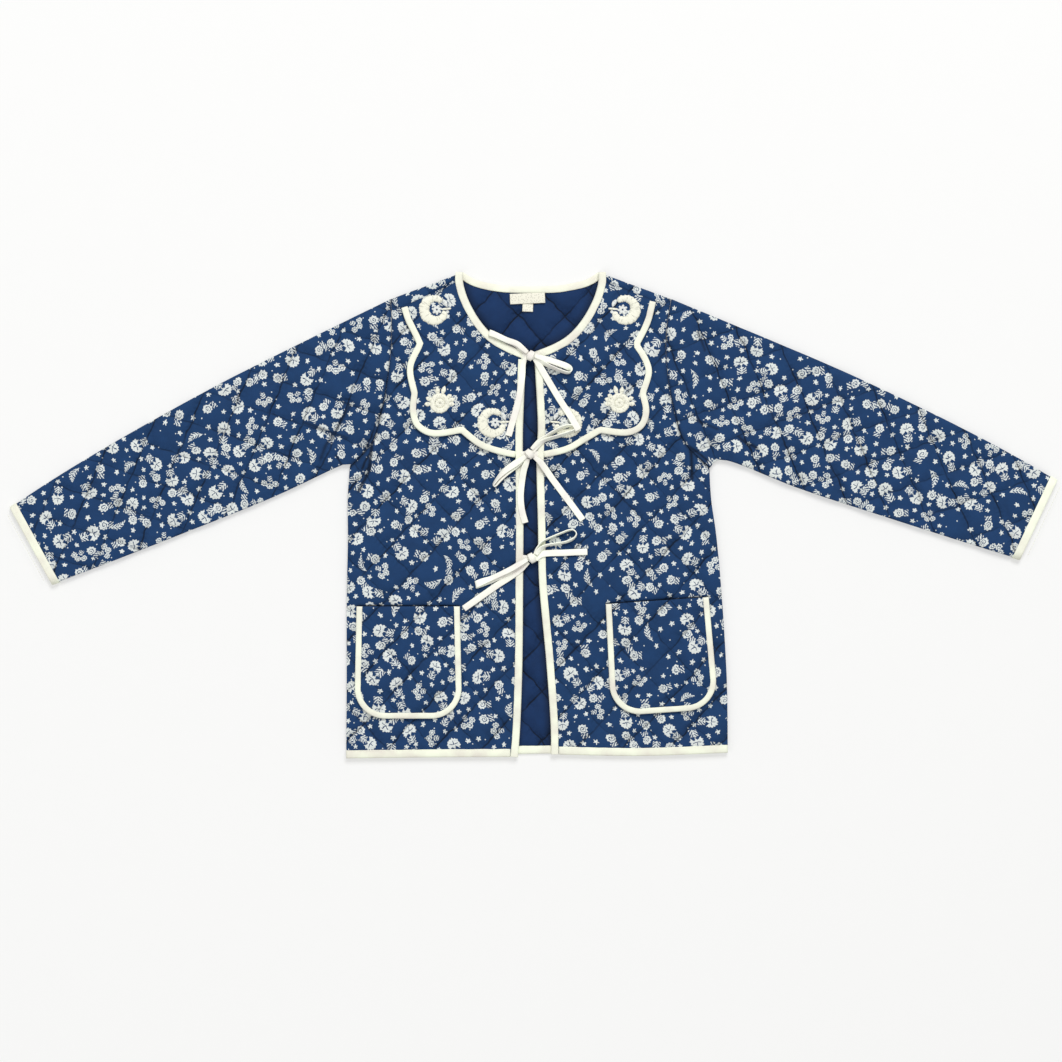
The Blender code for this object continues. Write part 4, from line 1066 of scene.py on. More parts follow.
def inward(path, i, hand):
    """Direction into the cloth at a point of its edge, lengthened so that a corner keeps its width."""
    before, here, after = path[max(i - 1, 0)], path[i], path[min(i + 1, len(path) - 1)]
    normals = []
    for start, end in ((before, here), (here, after)):
        size = math.dist(start, end)
        if size > 1e-9:
            normals.append((hand * (start[1] - end[1]) / size, hand * (end[0] - start[0]) / size))
    x = sum(n[0] for n in normals) / len(normals)
    y = sum(n[1] for n in normals) / len(normals)
    square = max(x * x + y * y, 0.5)
    return x / square, y / square


def folded_strip(lips, lip, crown):
    """Section of a binding: distance into the cloth from its edge, and height."""
    low, low_inside, high_inside, high = lips
    reach = GAP + STRIP
    middle, half = (low + high) / 2.0, (high - low) / 2.0
    section = [(lip, low), (lip * 0.5, low)]
    for k in range(7):
        turn = math.radians(-90.0 + 30.0 * k)
        section.append((NOSE - reach - NOSE * math.cos(turn), middle + half * math.sin(turn)))
    for share in (0.25, 0.5, 0.75, 0.92):
        depth = NOSE - reach + (lip - NOSE + reach) * share
        section.append((depth, high + crown * math.sin(math.pi * min(1.0, share * 1.08))))
    section += [(lip, high - 0.25), (lip, high_inside)]
    section += [(lip * 0.5, high_inside), (-GAP, high_inside), (-GAP, low_inside), (lip, low_inside)]
    return section


def bound_edge(path, hand, lips_at, lip, crown, seed, shut):
    """A binding along an edge, with slight puckers. lips_at gives its four heights at a point.

    shut closes its first end, as where the strip is tucked in.
    """
    path = even(path, BINDING_STEP)
    if shut:
        (ax, ay), (bx, by) = path[:2]
        tuck = END_TUCK / BINDING_STEP
        path.insert(1, (ax + (bx - ax) * tuck, ay + (by - ay) * tuck))
    rows = []
    for i, (x, y) in enumerate(path):
        in_x, in_y = inward(path, i, hand)
        lips = lips_at(x, y)
        if shut and i == 0:
            middle = (lips[0] + lips[3]) / 2.0
            lips = (lips[0], middle, middle, lips[3])
        wobble = noise.noise((x * 0.16, y * 0.16, seed))
        fine = noise.noise((x * 0.45, y * 0.45, seed + 9.0))
        section = folded_strip(lips, lip + 0.25 * wobble, crown * (1.0 + 0.7 * fine))
        rows.append([(x + in_x * depth, y + in_y * depth, height) for depth, height in section])
    return skinned(rows, lengths_of(path))


def paste(bm, other):
    """Adds one mesh to another."""
    mesh = bpy.data.meshes.new("pasted")
    other.to_mesh(mesh)
    other.free()
    bm.from_mesh(mesh)
    bpy.data.meshes.remove(mesh)


# Materials

def add(tree, kind, *inputs, out=0, named=None, **settings):
    """Adds a shader node with its settings, then its inputs in order, each a value, a link or None."""
    made = tree.nodes.new("ShaderNode" + kind)
    for key, value in settings.items():
        setattr(made, key, value)
    given = [*enumerate(inputs), *(named or {}).items()]
    for key, value in given:
        if isinstance(value, bpy.types.NodeSocket):
            tree.links.new(value, made.inputs[key])
        elif value is not None:
            made.inputs[key].default_value = value
    return made.outputs[out]


def fresh_material(name):
    """A new material with one shader, and its node tree."""
    material = bpy.data.materials.new(name)
    material.use_nodes = True
    return material, material.node_tree, material.node_tree.nodes["Principled BSDF"]


def ivory_cotton(name, colour):
    """Plain woven cotton: matt, with a faint thread and soft uneven bleaching."""
    material, tree, shader = fresh_material(name)
    place = add(tree, "TexCoord", out=3)
    bleach = add(tree, "TexNoise", named={"Vector": place, "Scale": 1.0 / (22.0 * MM), "Detail": 4.0})
    tone = add(tree, "MapRange", bleach, 0.3, 0.62)
    pale = tuple(min(1.0, part * rise) for part, rise in zip(colour, (1.0, 1.03, 1.0)))
    dull = tuple(part * drop for part, drop in zip(colour, (0.84, 0.79, 0.83)))
    mixed = add(tree, "Mix", named={0: tone, 6: (*dull, 1.0), 7: (*pale, 1.0)}, out=2, data_type="RGBA")
    tree.links.new(mixed, shader.inputs["Base Color"])
    weave = add(tree, "TexVoronoi", named={"Vector": place, "Scale": 1.0 / (THREAD_SHOWN * MM)})
    bump = add(tree, "Bump", named={"Strength": 0.35, "Distance": 0.25 * MM, "Height": weave})
    tree.links.new(bump, shader.inputs["Normal"])
    shader.inputs["Roughness"].default_value = 0.85
    shader.inputs["Sheen Weight"].default_value = 0.15
    return material


def run(tree, table, known):
    """Adds one Math node for each row of a table. known holds results by name, and gets the new ones."""
    for name, operation, *inputs in table:
        given = [known[value] if isinstance(value, str) else value for value in inputs]
        known[name] = add(tree, "Math", *given, operation=operation)
    return known


def cloth_millimetres(tree, layer):
    """Where a point of the surface lies in its cloth, in millimetres."""
    place = add(tree, "UVMap", uv_map=layer)
    return add(tree, "VectorMath", named={0: place, "Scale": 1.0 / MM}, operation="SCALE")


def motif_cells(tree, grid, offset, stray, seed):
    """One layer of the print's layout: where a point lies in the motif of its cell, and its lot."""
    known = dict(grid, off_u=offset[0], off_v=offset[1], stray=stray)
    run(tree, TO_CELL, known)
    cell = add(tree, "CombineXYZ", known["column"], known["row"], seed)
    lot = add(tree, "TexWhiteNoise", cell, noise_dimensions="3D").node.outputs
    parts = add(tree, "SeparateColor", lot["Color"]).node.outputs
    known.update(red=parts[0], green=parts[1], blue=parts[2])
    return run(tree, IN_CELL, known), lot["Value"]


def chosen(tree, lot, motifs):
    """The motif that a cell's lot falls to. motifs are results, each with the lot that it ends at."""
    best = None
    start = -1.0
    for result, end in motifs:
        above = add(tree, "Math", lot, start, operation="GREATER_THAN")
        below = add(tree, "Math", lot, end, operation="LESS_THAN")
        both = add(tree, "Math", above, below, operation="MULTIPLY")
        raised = add(tree, "Math", both, 100.0, result, operation="MULTIPLY_ADD")
        best = raised if best is None else add(tree, "Math", best, raised, operation="MAXIMUM")
        start = end
    return add(tree, "Math", best, 100.0, operation="SUBTRACT")


def flower_print(tree, scaled):
    """How much of a point the flower print covers, from nought to one."""
    drift = add(tree, "TexNoise", named={"Vector": scaled, "Scale": 1.0 / 48.0, "Detail": 0.0}, out=1)
    centred = add(tree, "VectorMath", drift, (0.5, 0.5, 0.5), operation="SUBTRACT")
    warped = add(tree, "VectorMath", centred, (11.0, 11.0, 0.0), scaled, operation="MULTIPLY_ADD")
    fray = add(tree, "TexNoise", named={"Vector": scaled, "Scale": 1.0 / 2.6, "Detail": 1.0}, out=1)
    centred = add(tree, "VectorMath", fray, (0.5, 0.5, 0.5), operation="SUBTRACT")
    frayed = add(tree, "VectorMath", centred, (2.2, 2.2, 0.0), warped, operation="MULTIPLY_ADD")
    turned = add(
        tree, "VectorRotate", named={"Vector": frayed, "Angle": math.radians(17.0)}, rotation_type="Z_AXIS"
    )
    cells = add(tree, "VectorMath", named={0: turned, "Scale": 1.0 / PRINT_CELL}, operation="SCALE")
    parts = add(tree, "SeparateXYZ", cells).node.outputs
    grid = {"grid_u": parts["X"], "grid_v": parts["Y"]}
    known, lot = motif_cells(tree, grid, (0.0, 0.0), 2.6, 3.0)
    pink = run(tree, PINK, dict(known))["motif"]
    garland = run(tree, GARLAND, dict(known))["motif"]
    rosette = run(tree, ROSETTE, dict(known))["motif"]
    sprig = run(tree, SPRIG, dict(known))["motif"]
    large = chosen(tree, lot, ((pink, 0.44), (garland, 0.62), (sprig, 0.7), (rosette, 0.94)))
    known, lot = motif_cells(tree, grid, (0.5, 0.38), 2.0, 11.0)
    rosette = run(tree, ROSETTE, dict(known))["motif"]
    star = run(tree, STAR, dict(known))["disc"]
    middle = chosen(tree, lot, ((rosette, 0.34), (star, 0.8)))
    known, lot = motif_cells(tree, grid, (0.87, 0.62), 2.4, 23.0)
    small = run(tree, STAR, dict(known))["disc"]
    above = add(tree, "Math", large, middle, operation="MAXIMUM")
    clear = add(tree, "Math", -0.7, above, operation="SUBTRACT")
    small = add(tree, "Math", small, clear, operation="MINIMUM")
    above = add(tree, "Math", above, small, operation="MAXIMUM")
    speck = add(tree, "TexVoronoi", named={"Vector": warped, "Scale": 1.0 / 17.0}, voronoi_dimensions="2D")
    speck = add(tree, "Math", speck, -17.0, 0.6, operation="MULTIPLY_ADD")
    clear = add(tree, "Math", -0.9, above, operation="SUBTRACT")
    speck = add(tree, "Math", speck, clear, operation="MINIMUM")
    above = add(tree, "Math", above, speck, operation="MAXIMUM")
    rough = add(tree, "TexNoise", named={"Vector": scaled, "Scale": 1.0 / 0.9, "Detail": 1.0})
    ragged = add(tree, "Math", rough, 0.9, -0.45, operation="MULTIPLY_ADD")
    ragged = add(tree, "Math", above, ragged, operation="ADD")
    return add(tree, "MapRange", ragged, -0.2, 0.2, interpolation_type="SMOOTHSTEP")


def quilt_lines(tree, scaled, shares):
    """The stitched lines at a point, from nought to one, and the height of the cloth beside them.

    Some stretches are drawn tighter than others. shares gives how tight each family of lines is.
    """
    stray = add(tree, "TexNoise", named={"Vector": scaled, "Scale": 1.0 / 15.0, "Detail": 1.0}, out=1)
    centred = add(tree, "VectorMath", stray, (0.5, 0.5, 0.5), operation="SUBTRACT")
    warped = add(tree, "VectorMath", centred, (6.0, 6.0, 0.0), scaled, operation="MULTIPLY_ADD")
    parts = add(tree, "SeparateXYZ", warped).node.outputs
    known = run(tree, QUILT_LINES, {"u": parts["X"], "v": parts["Y"]})
    pull = add(tree, "TexNoise", named={"Vector": scaled, "Scale": 1.0 / 30.0, "Detail": 2.0})
    pull = add(tree, "MapRange", pull, 0.38, 0.6, 0.4, 1.0)
    lines, heights = [], []
    for family, share in zip(("first", "second"), shares):
        away = known[family + "_mm"]
        lines.append(add(tree, "MapRange", away, 1.0, 0.3, 0.0, share, interpolation_type="SMOOTHSTEP"))
        close = add(tree, "MapRange", away, 7.0, 0.5, 0.0, 0.22, interpolation_type="SMOOTHSTEP")
        wave = add(tree, "Math", known[family + "_run"], operation="SINE")
        pucker = add(tree, "Math", close, wave, operation="MULTIPLY")
        near = add(tree, "MapRange", away, 12.0, 0.0)
        dip = add(tree, "Math", near, near, operation="MULTIPLY")
        heights.append(add(tree, "Math", dip, -3.8 * share, pucker, operation="MULTIPLY_ADD"))
    line = add(tree, "Math", *lines, operation="MAXIMUM")
    height = add(tree, "Math", *heights, operation="ADD")
    line = add(tree, "Math", line, pull, operation="MULTIPLY")
    return line, add(tree, "Math", height, pull, operation="MULTIPLY")


def quilted_cotton(name, ground, ink=None):
    """Fine cotton, quilted. Light catches its puckers. The stitched lines are dark with thread and painted
    shade.

    With an ink the cloth is printed with small flowers, a discharge print that leaves soft ragged edges.
    """
    material, tree, shader = fresh_material(name)
    scaled = cloth_millimetres(tree, "cloth")
    line, relief = quilt_lines(tree, scaled, (0.5, 0.9) if ink else (0.95, 0.95))
    dyed = {"Vector": scaled, "Scale": 1.0 / 22.0, "Detail": 6.0, "Roughness": 0.7}
    fade = add(tree, "TexNoise", named=dyed)
    deep = tuple(part * 0.66 for part in ground)
    light = tuple(part * 1.34 for part in ground)
    colour = add(tree, "Mix", named={0: fade, 6: (*deep, 1.0), 7: (*light, 1.0)}, out=2, data_type="RGBA")
    depth = 1.0
    if ink:
        cover = flower_print(tree, cloth_millimetres(tree, "print"))
        worn = add(tree, "TexNoise", named={"Vector": scaled, "Scale": 1.0 / 1.7, "Detail": 2.0})
        worn = add(tree, "MapRange", worn, 0.3, 0.6, 0.78, 1.0)
        cover = add(tree, "Math", cover, worn, operation="MULTIPLY")
        colour = add(tree, "Mix", named={0: cover, 6: colour, 7: (*ink, 1.0)}, out=2, data_type="RGBA")
        depth = add(tree, "Math", cover, -0.5, depth, operation="MULTIPLY_ADD")
    # The stitched lines darken the colour: partly the thread, partly painted shade in the stitched groove,
    # fainter over the print
    dark = tuple(part * 0.22 for part in ground)
    seam = add(tree, "Math", line, depth, operation="MULTIPLY")
    colour = add(tree, "Mix", named={0: seam, 6: colour, 7: (*dark, 1.0)}, out=2, data_type="RGBA")
    # Painted shade from each panel's vertices: its creases, seams, pocket mouth and the lining under the
    # fronts' edges
    painted_shade = add(tree, "Attribute", attribute_name="painted_shade", out=2)
    colour = add(tree, "Mix", named={0: painted_shade, 6: colour, 7: (*dark, 1.0)}, out=2, data_type="RGBA")
    tree.links.new(colour, shader.inputs["Base Color"])
    weave = add(tree, "TexNoise", named={"Vector": scaled, "Scale": 1.0 / THREAD_SHOWN, "Detail": 2.0})
    height = add(tree, "Math", line, -0.5, relief, operation="MULTIPLY_ADD")
    height = add(tree, "Math", weave, 0.22, height, operation="MULTIPLY_ADD")
    bump = add(tree, "Bump", named={"Strength": 1.0, "Distance": 1.0 * MM, "Height": height})
    tree.links.new(bump, shader.inputs["Normal"])
    shader.inputs["Roughness"].default_value = 0.88
    shader.inputs["Specular IOR Level"].default_value = 0.3
    return material


def satin_floss(name, colour):
    """Mercerised cotton floss in satin stitch: side by side across each bar, with a soft shine."""
    material, tree, shader = fresh_material(name)
    scaled = cloth_millimetres(tree, "cloth")
    parts = add(tree, "SeparateXYZ", scaled).node.outputs
    stray = add(tree, "TexNoise", named={"Vector": scaled, "Scale": 1.0 / 2.5, "Detail": 2.0})
    along = add(tree, "Math", stray, 0.9, parts["Y"], operation="MULTIPLY_ADD")
    turns = add(tree, "Math", along, 2.0 * math.pi / THREAD_SHOWN, operation="MULTIPLY")
    strand = add(tree, "Math", turns, operation="SINE")
    # Painted shade: the colour darkens between the strands and in the needle holes
    hole = add(tree, "TexVoronoi", named={"Vector": scaled, "Scale": 1.0 / 2.4}, voronoi_dimensions="2D")
    pit_shade = add(tree, "MapRange", hole, 0.28, 0.14)
    lit = add(tree, "MapRange", strand, -1.0, 1.0, 0.55, 1.0)
    shade = add(tree, "Math", lit, pit_shade, operation="SUBTRACT", use_clamp=True)
    deep = tuple(part * 0.68 for part in colour)
    mixed = add(tree, "Mix", named={0: shade, 6: (*deep, 1.0), 7: (*colour, 1.0)}, out=2, data_type="RGBA")
    tree.links.new(mixed, shader.inputs["Base Color"])
    bump = add(tree, "Bump", named={"Strength": 0.4, "Distance": 0.15 * MM, "Height": strand})
    tree.links.new(bump, shader.inputs["Normal"])
    shader.inputs["Roughness"].default_value = 0.5
    shader.inputs["Sheen Weight"].default_value = 0.2
    return material


def shared(name, make, *values):
    """A material by name, made the first time that it is asked for."""
    return bpy.data.materials.get(name) or make(name, *values)


def printed():
    cloth = bpy.context.scene.jacket_cloth
    return shared("Printed quilted cotton", quilted_cotton, tuple(cloth.ground), tuple(cloth.ink))


def lining():
    cloth = bpy.context.scene.jacket_cloth
    return shared("Plain quilted lining cotton", quilted_cotton, tuple(cloth.lining))


def bias_cotton():
    trim = bpy.context.scene.jacket_trim
    return shared("Ivory bias cotton", ivory_cotton, tuple(trim.binding))


def tie_cotton():
    trim = bpy.context.scene.jacket_trim
    return shared("Ivory tie cotton", ivory_cotton, tuple(trim.tie))


def satin_thread():
    trim = bpy.context.scene.jacket_trim
    return shared("Ivory embroidery floss", satin_floss, tuple(trim.thread))


def pale_thread():
    return shared("Pale embroidery floss", satin_floss, linear("e3e6e2"))


def label_tape():
    return shared("Cream woven label tape", satin_floss, linear("f1eedd"))


def printed_panel(part, side, outline, place, heights, shade=None, lines=()):
    """One printed and quilted panel of the shell."""
    cells = bpy.context.scene.jacket_cloth.cells
    node = f"{part}_{SIDES[side]}"
    bm = quilted(outline, place, heights, cells, shade, lines, PRINT_DRIFT[part, side])
    return finish_piece(f"panel_{node}", bm, printed(), "printed_cotton", node)


# Pieces

class JACKET_OT_stage(bpy.types.Operator):
    """Lays the floor and sets the light and the camera, straight above the garment"""

    bl_idname = "jacket.stage"
    bl_label = "Stage"

    def execute(self, context):
        stage = context.scene.jacket_stage
        material, tree, shader = fresh_material("Pale studio paper")
        place = add(tree, "TexCoord", out=3)
        grain = add(tree, "TexNoise", named={"Vector": place, "Scale": 40.0, "Detail": 2.0})
        pale = tuple(part * 0.5 for part in stage.floor)
        dim = tuple(part * 0.985 for part in pale)
        paper = add(tree, "Mix", named={0: grain, 6: (*dim, 1.0), 7: (*pale, 1.0)}, out=2, data_type="RGBA")
        tree.links.new(paper, shader.inputs["Base Color"])
        # Lit from below too, so that the shadows on it are faint
        shader.inputs["Emission Color"].default_value = (*stage.floor, 1.0)
        shader.inputs["Emission Strength"].default_value = FLOOR_GLOW
        shader.inputs["Roughness"].default_value = 0.9
        bm = bmesh.new()
        bmesh.ops.create_grid(bm, x_segments=2, y_segments=2, size=6.0)
        object_of("floor", bm, material)
        camera = bpy.data.objects.new("camera", bpy.data.cameras.new("camera"))
        camera.location = (*CAMERA_AT, stage.height)
        camera.data.sensor_width = SENSOR
        camera.data.lens = SENSOR * stage.height / stage.view
        camera.data.clip_end = 50.0
        context.scene.collection.objects.link(camera)
        context.scene.camera = camera
        for name, (place, size, power) in LIGHTS.items():
            light = bpy.data.objects.new(name, bpy.data.lights.new(name, "AREA"))
            light.data.size = size
            light.data.energy = power
            light.location = place
            light.rotation_euler = (-Vector(place)).to_track_quat("-Z", "Y").to_euler()
            context.scene.collection.objects.link(light)
        world = bpy.data.worlds.new("studio")
        world.use_nodes = True
        world.node_tree.nodes["Background"].inputs["Color"].default_value = (1.0, 1.0, 1.0, 1.0)
        world.node_tree.nodes["Background"].inputs["Strength"].default_value = ROOM_LIGHT
        context.scene.world = world
        context.scene.view_settings.view_transform = "Standard"
        return {"FINISHED"}


def ribbon(points, widths, thick, rolls=None, wide=None, ring=False):
    """A flat strip along points, its width level at the start, or along wide, and turned by any rolls."""
    section = ((-1, -0.3), (-0.97, -0.8), (-0.88, -1), (0, -1), (0.88, -1), (0.97, -0.8))
    section += tuple((-w, -t) for w, t in section)
    rows = []
    last = len(points) - 1
    for i, point in enumerate(points):
        before = points[i - 1 if ring else max(i - 1, 0)]
        after = points[(i + 1) % (last + 1) if ring else min(i + 1, last)]
        ahead = (Vector(after) - Vector(before)).normalized()
        wide = Vector((-ahead.y, ahead.x, 0.0)) if wide is None else wide
        wide = (wide - ahead * wide.dot(ahead)).normalized()
        spin = Matrix.Rotation(math.radians(rolls[i] if rolls else 0.0), 3, ahead)
        across, face = spin @ wide, spin @ ahead.cross(wide)
        ripple = 0.25 * noise.noise((point[0] * 0.12, point[1] * 0.12, point[2] * 0.3))
        row = []
        for w, t in section:
            lift = thick / 2.0 * t + ripple * (1 - abs(w))
            row.append(tuple(Vector(point) + across * (widths[i] / 2.0 * w) + face * lift))
        rows.append(row)
    long = lengths_of([*points, points[0]] if ring else points)
    return skinned(rows, long, ring)


class JACKET_OT_ties(bpy.types.Operator):
    """Makes the three bows: each a knot, two loops and two tails of flat tie"""

    bl_idname = "jacket.ties"
    bl_label = "Ties"

    def execute(self, context):
        for number, knot in enumerate(KNOTS):
            self.knot(f"bow_{number + 1}", knot)
        for node, table in TIES.items():
            rows = smooth([(*row, *TIE_LEVEL[len(row) - 3 :]) for row in table], 1.0)
            points = [row[:3] for row in rows]
            bm = ribbon(points, [row[4] * TIE_WIDE for row in rows], TIE_THICK, [row[3] for row in rows])
            piece = finish_piece(f"tie_{node}", bm, tie_cotton(), "ivory_tie", node)
            path = [tuple(value * MM for value in point) for point in points]
            length = lengths_of(points)[-1] * MM
            far_end = "object" if "loop" in node else "bare"
            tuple(path[0])
        return {"FINISHED"}

    def knot(self, name, knot):
        """The lump where the ties cross, a band round it, and the straps from it to the bindings."""
        x, y, under, turn = knot
        middle = Vector((x, y, under + GAP + KNOT_HALF[2]))
        axis = Vector((math.cos(math.radians(turn)), math.sin(math.radians(turn)), 0.0))
        aside = Vector((-axis.y, axis.x, 0.0))
        bm = bmesh.new()
        bmesh.ops.create_uvsphere(bm, u_segments=32, v_segments=20, radius=1.0)
        for vert in bm.verts:
            along, off, up = (part * half for part, half in zip(vert.co, KNOT_HALF))
            vert.co = (middle + axis * along + aside * off + Vector((0.0, 0.0, up - 0.3))) * MM
        band = []
        for k in range(KNOT_BAND_CUTS):
            angle = 2.0 * math.pi * k / KNOT_BAND_CUTS
            rise = Vector((0.0, 0.0, KNOT_HALF[2] * math.sin(angle)))
            band.append(tuple(middle + (aside * (KNOT_HALF[1] * math.cos(angle)) + rise) * 0.98))
        paste(bm, ribbon(band, [KNOT_BAND_WIDE] * KNOT_BAND_CUTS, TIE_THICK, wide=axis, ring=True))
        for side in SIDES:
            rows = smooth([(x + side * out, y, under + rise, share) for out, rise, share in STRAP], 1.0)
            widths = [row[3] * TIE_WIDE for row in rows]
            paste(bm, ribbon([row[:3] for row in rows], widths, TIE_THICK))
        finish_piece(f"tie_{name}_knot", bm, tie_cotton(), "ivory_tie", f"{name}_knot")


class JACKET_OT_back(bpy.types.Operator):
    """Makes the back, whose plain lining shows in the neck and the front opening"""

    bl_idname = "jacket.back"
    bl_label = "Back"

    def execute(self, context):
        cloth = context.scene.jacket_cloth
        edges = back_edges()
        left, right = [edges[kind, LEFT] for kind in ("shoulder", "armhole", "side")], []
        for kind in ("side", "armhole", "shoulder"):
            right.append(edges[kind, RIGHT][::-1])
        outline = ring_of(edges["neck"], *left, edges["hem"], *right)
        to_bound = distance_to(edges["neck"], edges["hem"])
        to_fold = distance_to(*[edges[kind, side] for kind in ("shoulder", "side") for side in SIDES])

        def heights(x, y):
            rim = to_bound(x, y)
            fade = off_rim(rim)
            top = BACK_STITCHED + (BACK_TOP - BACK_STITCHED) * pillow(back_place, x, y) * fade
            low = max(at_rim(rim), 1.0 - to_fold(x, y) / EDGE_ZONE)
            return low, top

        to_left, to_right = [distance_to(front_edges(side)["front"]) for side in SIDES]
        to_necks = distance_to(*[front_edges(side)["neck"] for side in SIDES])

        # Painted shadow that the fronts cast on the lining beside their front edges and necks, deeper on the
        # right
        def shade(x, y):
            left = 0.55 * (1.0 - to_left(x, y) / 5.0)
            right = 0.9 * (1.0 - to_right(x, y) / 8.0)
            neck = 0.75 * (1.0 - to_necks(x, y) / 9.0)
            return max(0.0, left, right, neck)

        bm = quilted(outline, back_place, heights, cloth.cells, shade)
        piece = finish_piece("panel_back", bm, lining(), "lining_cotton", "back")
        return {"FINISHED"}


def forward_seam(side):
    """The shoulder seam in front of the shoulder's fold, from the collar's end to the armhole."""
    x, y = shoulder_point(side)
    return [SCALLOPS[side][0][0], (x - side * 0.3, y - SHOULDER_SEAM - 1.0)]


class JACKET_OT_fronts(bpy.types.Operator):
    """Makes the two fronts"""

    bl_idname = "jacket.fronts"
    bl_label = "Fronts"

    def execute(self, context):
        cloth = context.scene.jacket_cloth
        for side, word in SIDES.items():
            edges = front_edges(side)
            outline = ring_of(*edges.values())
            to_bound = distance_to(edges["front"], edges["neck"], edges["hem"])
            to_armhole = distance_to(edges["armhole"])
            to_fold = distance_to(edges["shoulder"], edges["side"])
            crease_at = creases_of("front", side)
            mouth_line = [pocket_place(side, end * POCKET_MOUTH / 2.0, 0.0) for end in (-1, 1)]
            to_mouth = distance_to(mouth_line)
            to_forward = distance_to(forward_seam(side))

            def heights(x, y):
                rim = to_bound(x, y)
                inside = off_rim(rim)
                low = FRONT_BOTTOM + RIM_LIFT * at_rim(rim)
                seam = beside(to_armhole(x, y), SEAM_ROLL)
                fold = beside(to_fold(x, y), SEAM_ROLL)
                high = FRONT_TOP + cloth.puff / MM * pillow(body_place, x, y) * inside
                high -= (SEAM_DIP * seam**2 + FOLD_DROP * fold**2) * inside
                high -= crease_at(x, y)[1] + MOUTH_DIP * ease(1.0 - to_mouth(x, y) / 2.6)
                return low, high + slack_rise(FOLDS["front", side], x, y) * inside

            # Painted shade in the armhole seam, the underarm creases, the gap at the pocket mouth and the
            # shoulder seam in front
            def shade(x, y):
                seam = armhole_shade(to_armhole(x, y), y)
                under = 0.95 * min(1.0, 1.4 * crease_at(x, y)[0])
                mouth = 0.95 * max(0.0, min(1.0, (1.5 - to_mouth(x, y)) / 0.7))
                forward = 0.6 * beside(to_forward(x, y), 1.2)
                return max(seam, under, mouth, forward)

            lines = [(line, half) for line, half, _ in CREASES["front", side]]
            lines += [(mouth_line, 0.8), (mouth_line, 1.5), (forward_seam(side), 1.2)]
            piece = printed_panel("front", side, outline, body_place, heights, shade, lines)
        return {"FINISHED"}


class JACKET_OT_sleeves(bpy.types.Operator):
    """Makes the two sleeves, flattened tubes open at the cuff"""

    bl_idname = "jacket.sleeves"
    bl_label = "Sleeves"

    def execute(self, context):
        cloth = context.scene.jacket_cloth
        for side, word in SIDES.items():
            edges = sleeve_edges(side)
            outline = ring_of(edges["upper"], edges["cuff"], edges["lower"], edges["armhole"])
            place = sleeve_cloth(side)
            to_cuff = distance_to(edges["cuff"])
            to_armhole = distance_to(edges["armhole"])
            to_fold = distance_to(edges["upper"], edges["lower"])
            crease_at = creases_of("sleeve", side)

            def heights(x, y):
                rim = to_cuff(x, y)
                inside = off_rim(rim)
                fold = beside(to_fold(x, y), EDGE_ZONE)
                seam = beside(to_armhole(x, y), SEAM_ROLL)
                low = max(at_rim(rim), SLEEVE_FOLD_LOW * fold)
                high = FRONT_TOP + cloth.puff / MM * pillow(place, x, y) * inside
                high -= max((FRONT_TOP - SLEEVE_FOLD_HIGH) * fold**2, SEAM_DIP * seam**2)
                high -= crease_at(x, y)[1]
                return low, high + slack_rise(FOLDS["sleeve", side], x, y)

            # Painted shade in the armhole seam and in the creases
            def shade(x, y):
                seam = armhole_shade(to_armhole(x, y), y)
                return max(seam, 0.9 * min(1.0, 1.4 * crease_at(x, y)[0]))

            lines = [(line, half) for line, half, _ in CREASES["sleeve", side]]
            piece = printed_panel("sleeve", side, outline, place, heights, shade, lines)
            self.hollow(piece, side)
        return {"FINISHED"}

    def hollow(self, piece, side):
        """Cuts the sleeve's inside, from the cuff to the armhole."""
        edges = sleeve_edges(side, SLEEVE_SLOT_INSET, SLEEVE_SLOT_PAST)
        outline = ring_of(edges["upper"], edges["cuff"], edges["lower"], edges["armhole"])
        bm = bmesh.new()
        face = bm.faces.new([bm.verts.new((x * MM, y * MM, SLEEVE_FLOOR * MM)) for x, y in outline])
        made = bmesh.ops.extrude_face_region(bm, geom=[face], use_keep_orig=True)
        risen = made_of(made, bmesh.types.BMVert)
        bmesh.ops.translate(bm, vec=(0.0, 0.0, (SLEEVE_CEILING - SLEEVE_FLOOR) * MM), verts=risen)
        bmesh.ops.recalc_face_normals(bm, faces=bm.faces[:])
        cutter = object_of("hollow", bm, lining())
        cut = piece.modifiers.new("hollow", "BOOLEAN")
        cut.operation = "DIFFERENCE"
        cut.object = cutter
        cut.material_mode = "TRANSFER"
        bpy.context.view_layer.update()
        made = bpy.data.meshes.new_from_object(piece.evaluated_get(bpy.context.evaluated_depsgraph_get()))
        piece.modifiers.clear()
        piece.data = made
        bpy.data.objects.remove(cutter)


class JACKET_OT_collar(bpy.types.Operator):
    """Makes the two scalloped halves of the collar"""

    bl_idname = "jacket.collar"
    bl_label = "Collar"

    def execute(self, context):
        for side, word in SIDES.items():
            edges = collar_edges(side)
            outline = ring_of(*edges.values())
            to_shoulder = distance_to(edges["shoulder"])

            # Painted shade along the collar's shoulder edge, at the seam
            def shade(x, y):
                return 0.5 * beside(to_shoulder(x, y), 1.5)

            piece = printed_panel("collar", side, outline, body_place, collar_heights(side), shade)
        return {"FINISHED"}


def collar_heights(side):
    """A function for the bottom and the top of one half of the collar at a point."""
    edges = collar_edges(side)
    to_scallop = distance_to(edges["scallop"])
    to_bound = distance_to(edges["scallop"], edges["front"], edges["neck"])
    to_shoulder = distance_to(edges["shoulder"])
    puff = bpy.context.scene.jacket_cloth.over_puff / MM

    def heights(x, y):
        inside = off_rim(to_bound(x, y))
        low = OVER_BOTTOM + RIM_LIFT * at_rim(to_scallop(x, y))
        high = OVER_TOP + puff * pillow(body_place, x, y) * inside
        fold = beside(to_shoulder(x, y), SEAM_ROLL)
        return low, high - 0.7 * fold**2 * inside

    return heights


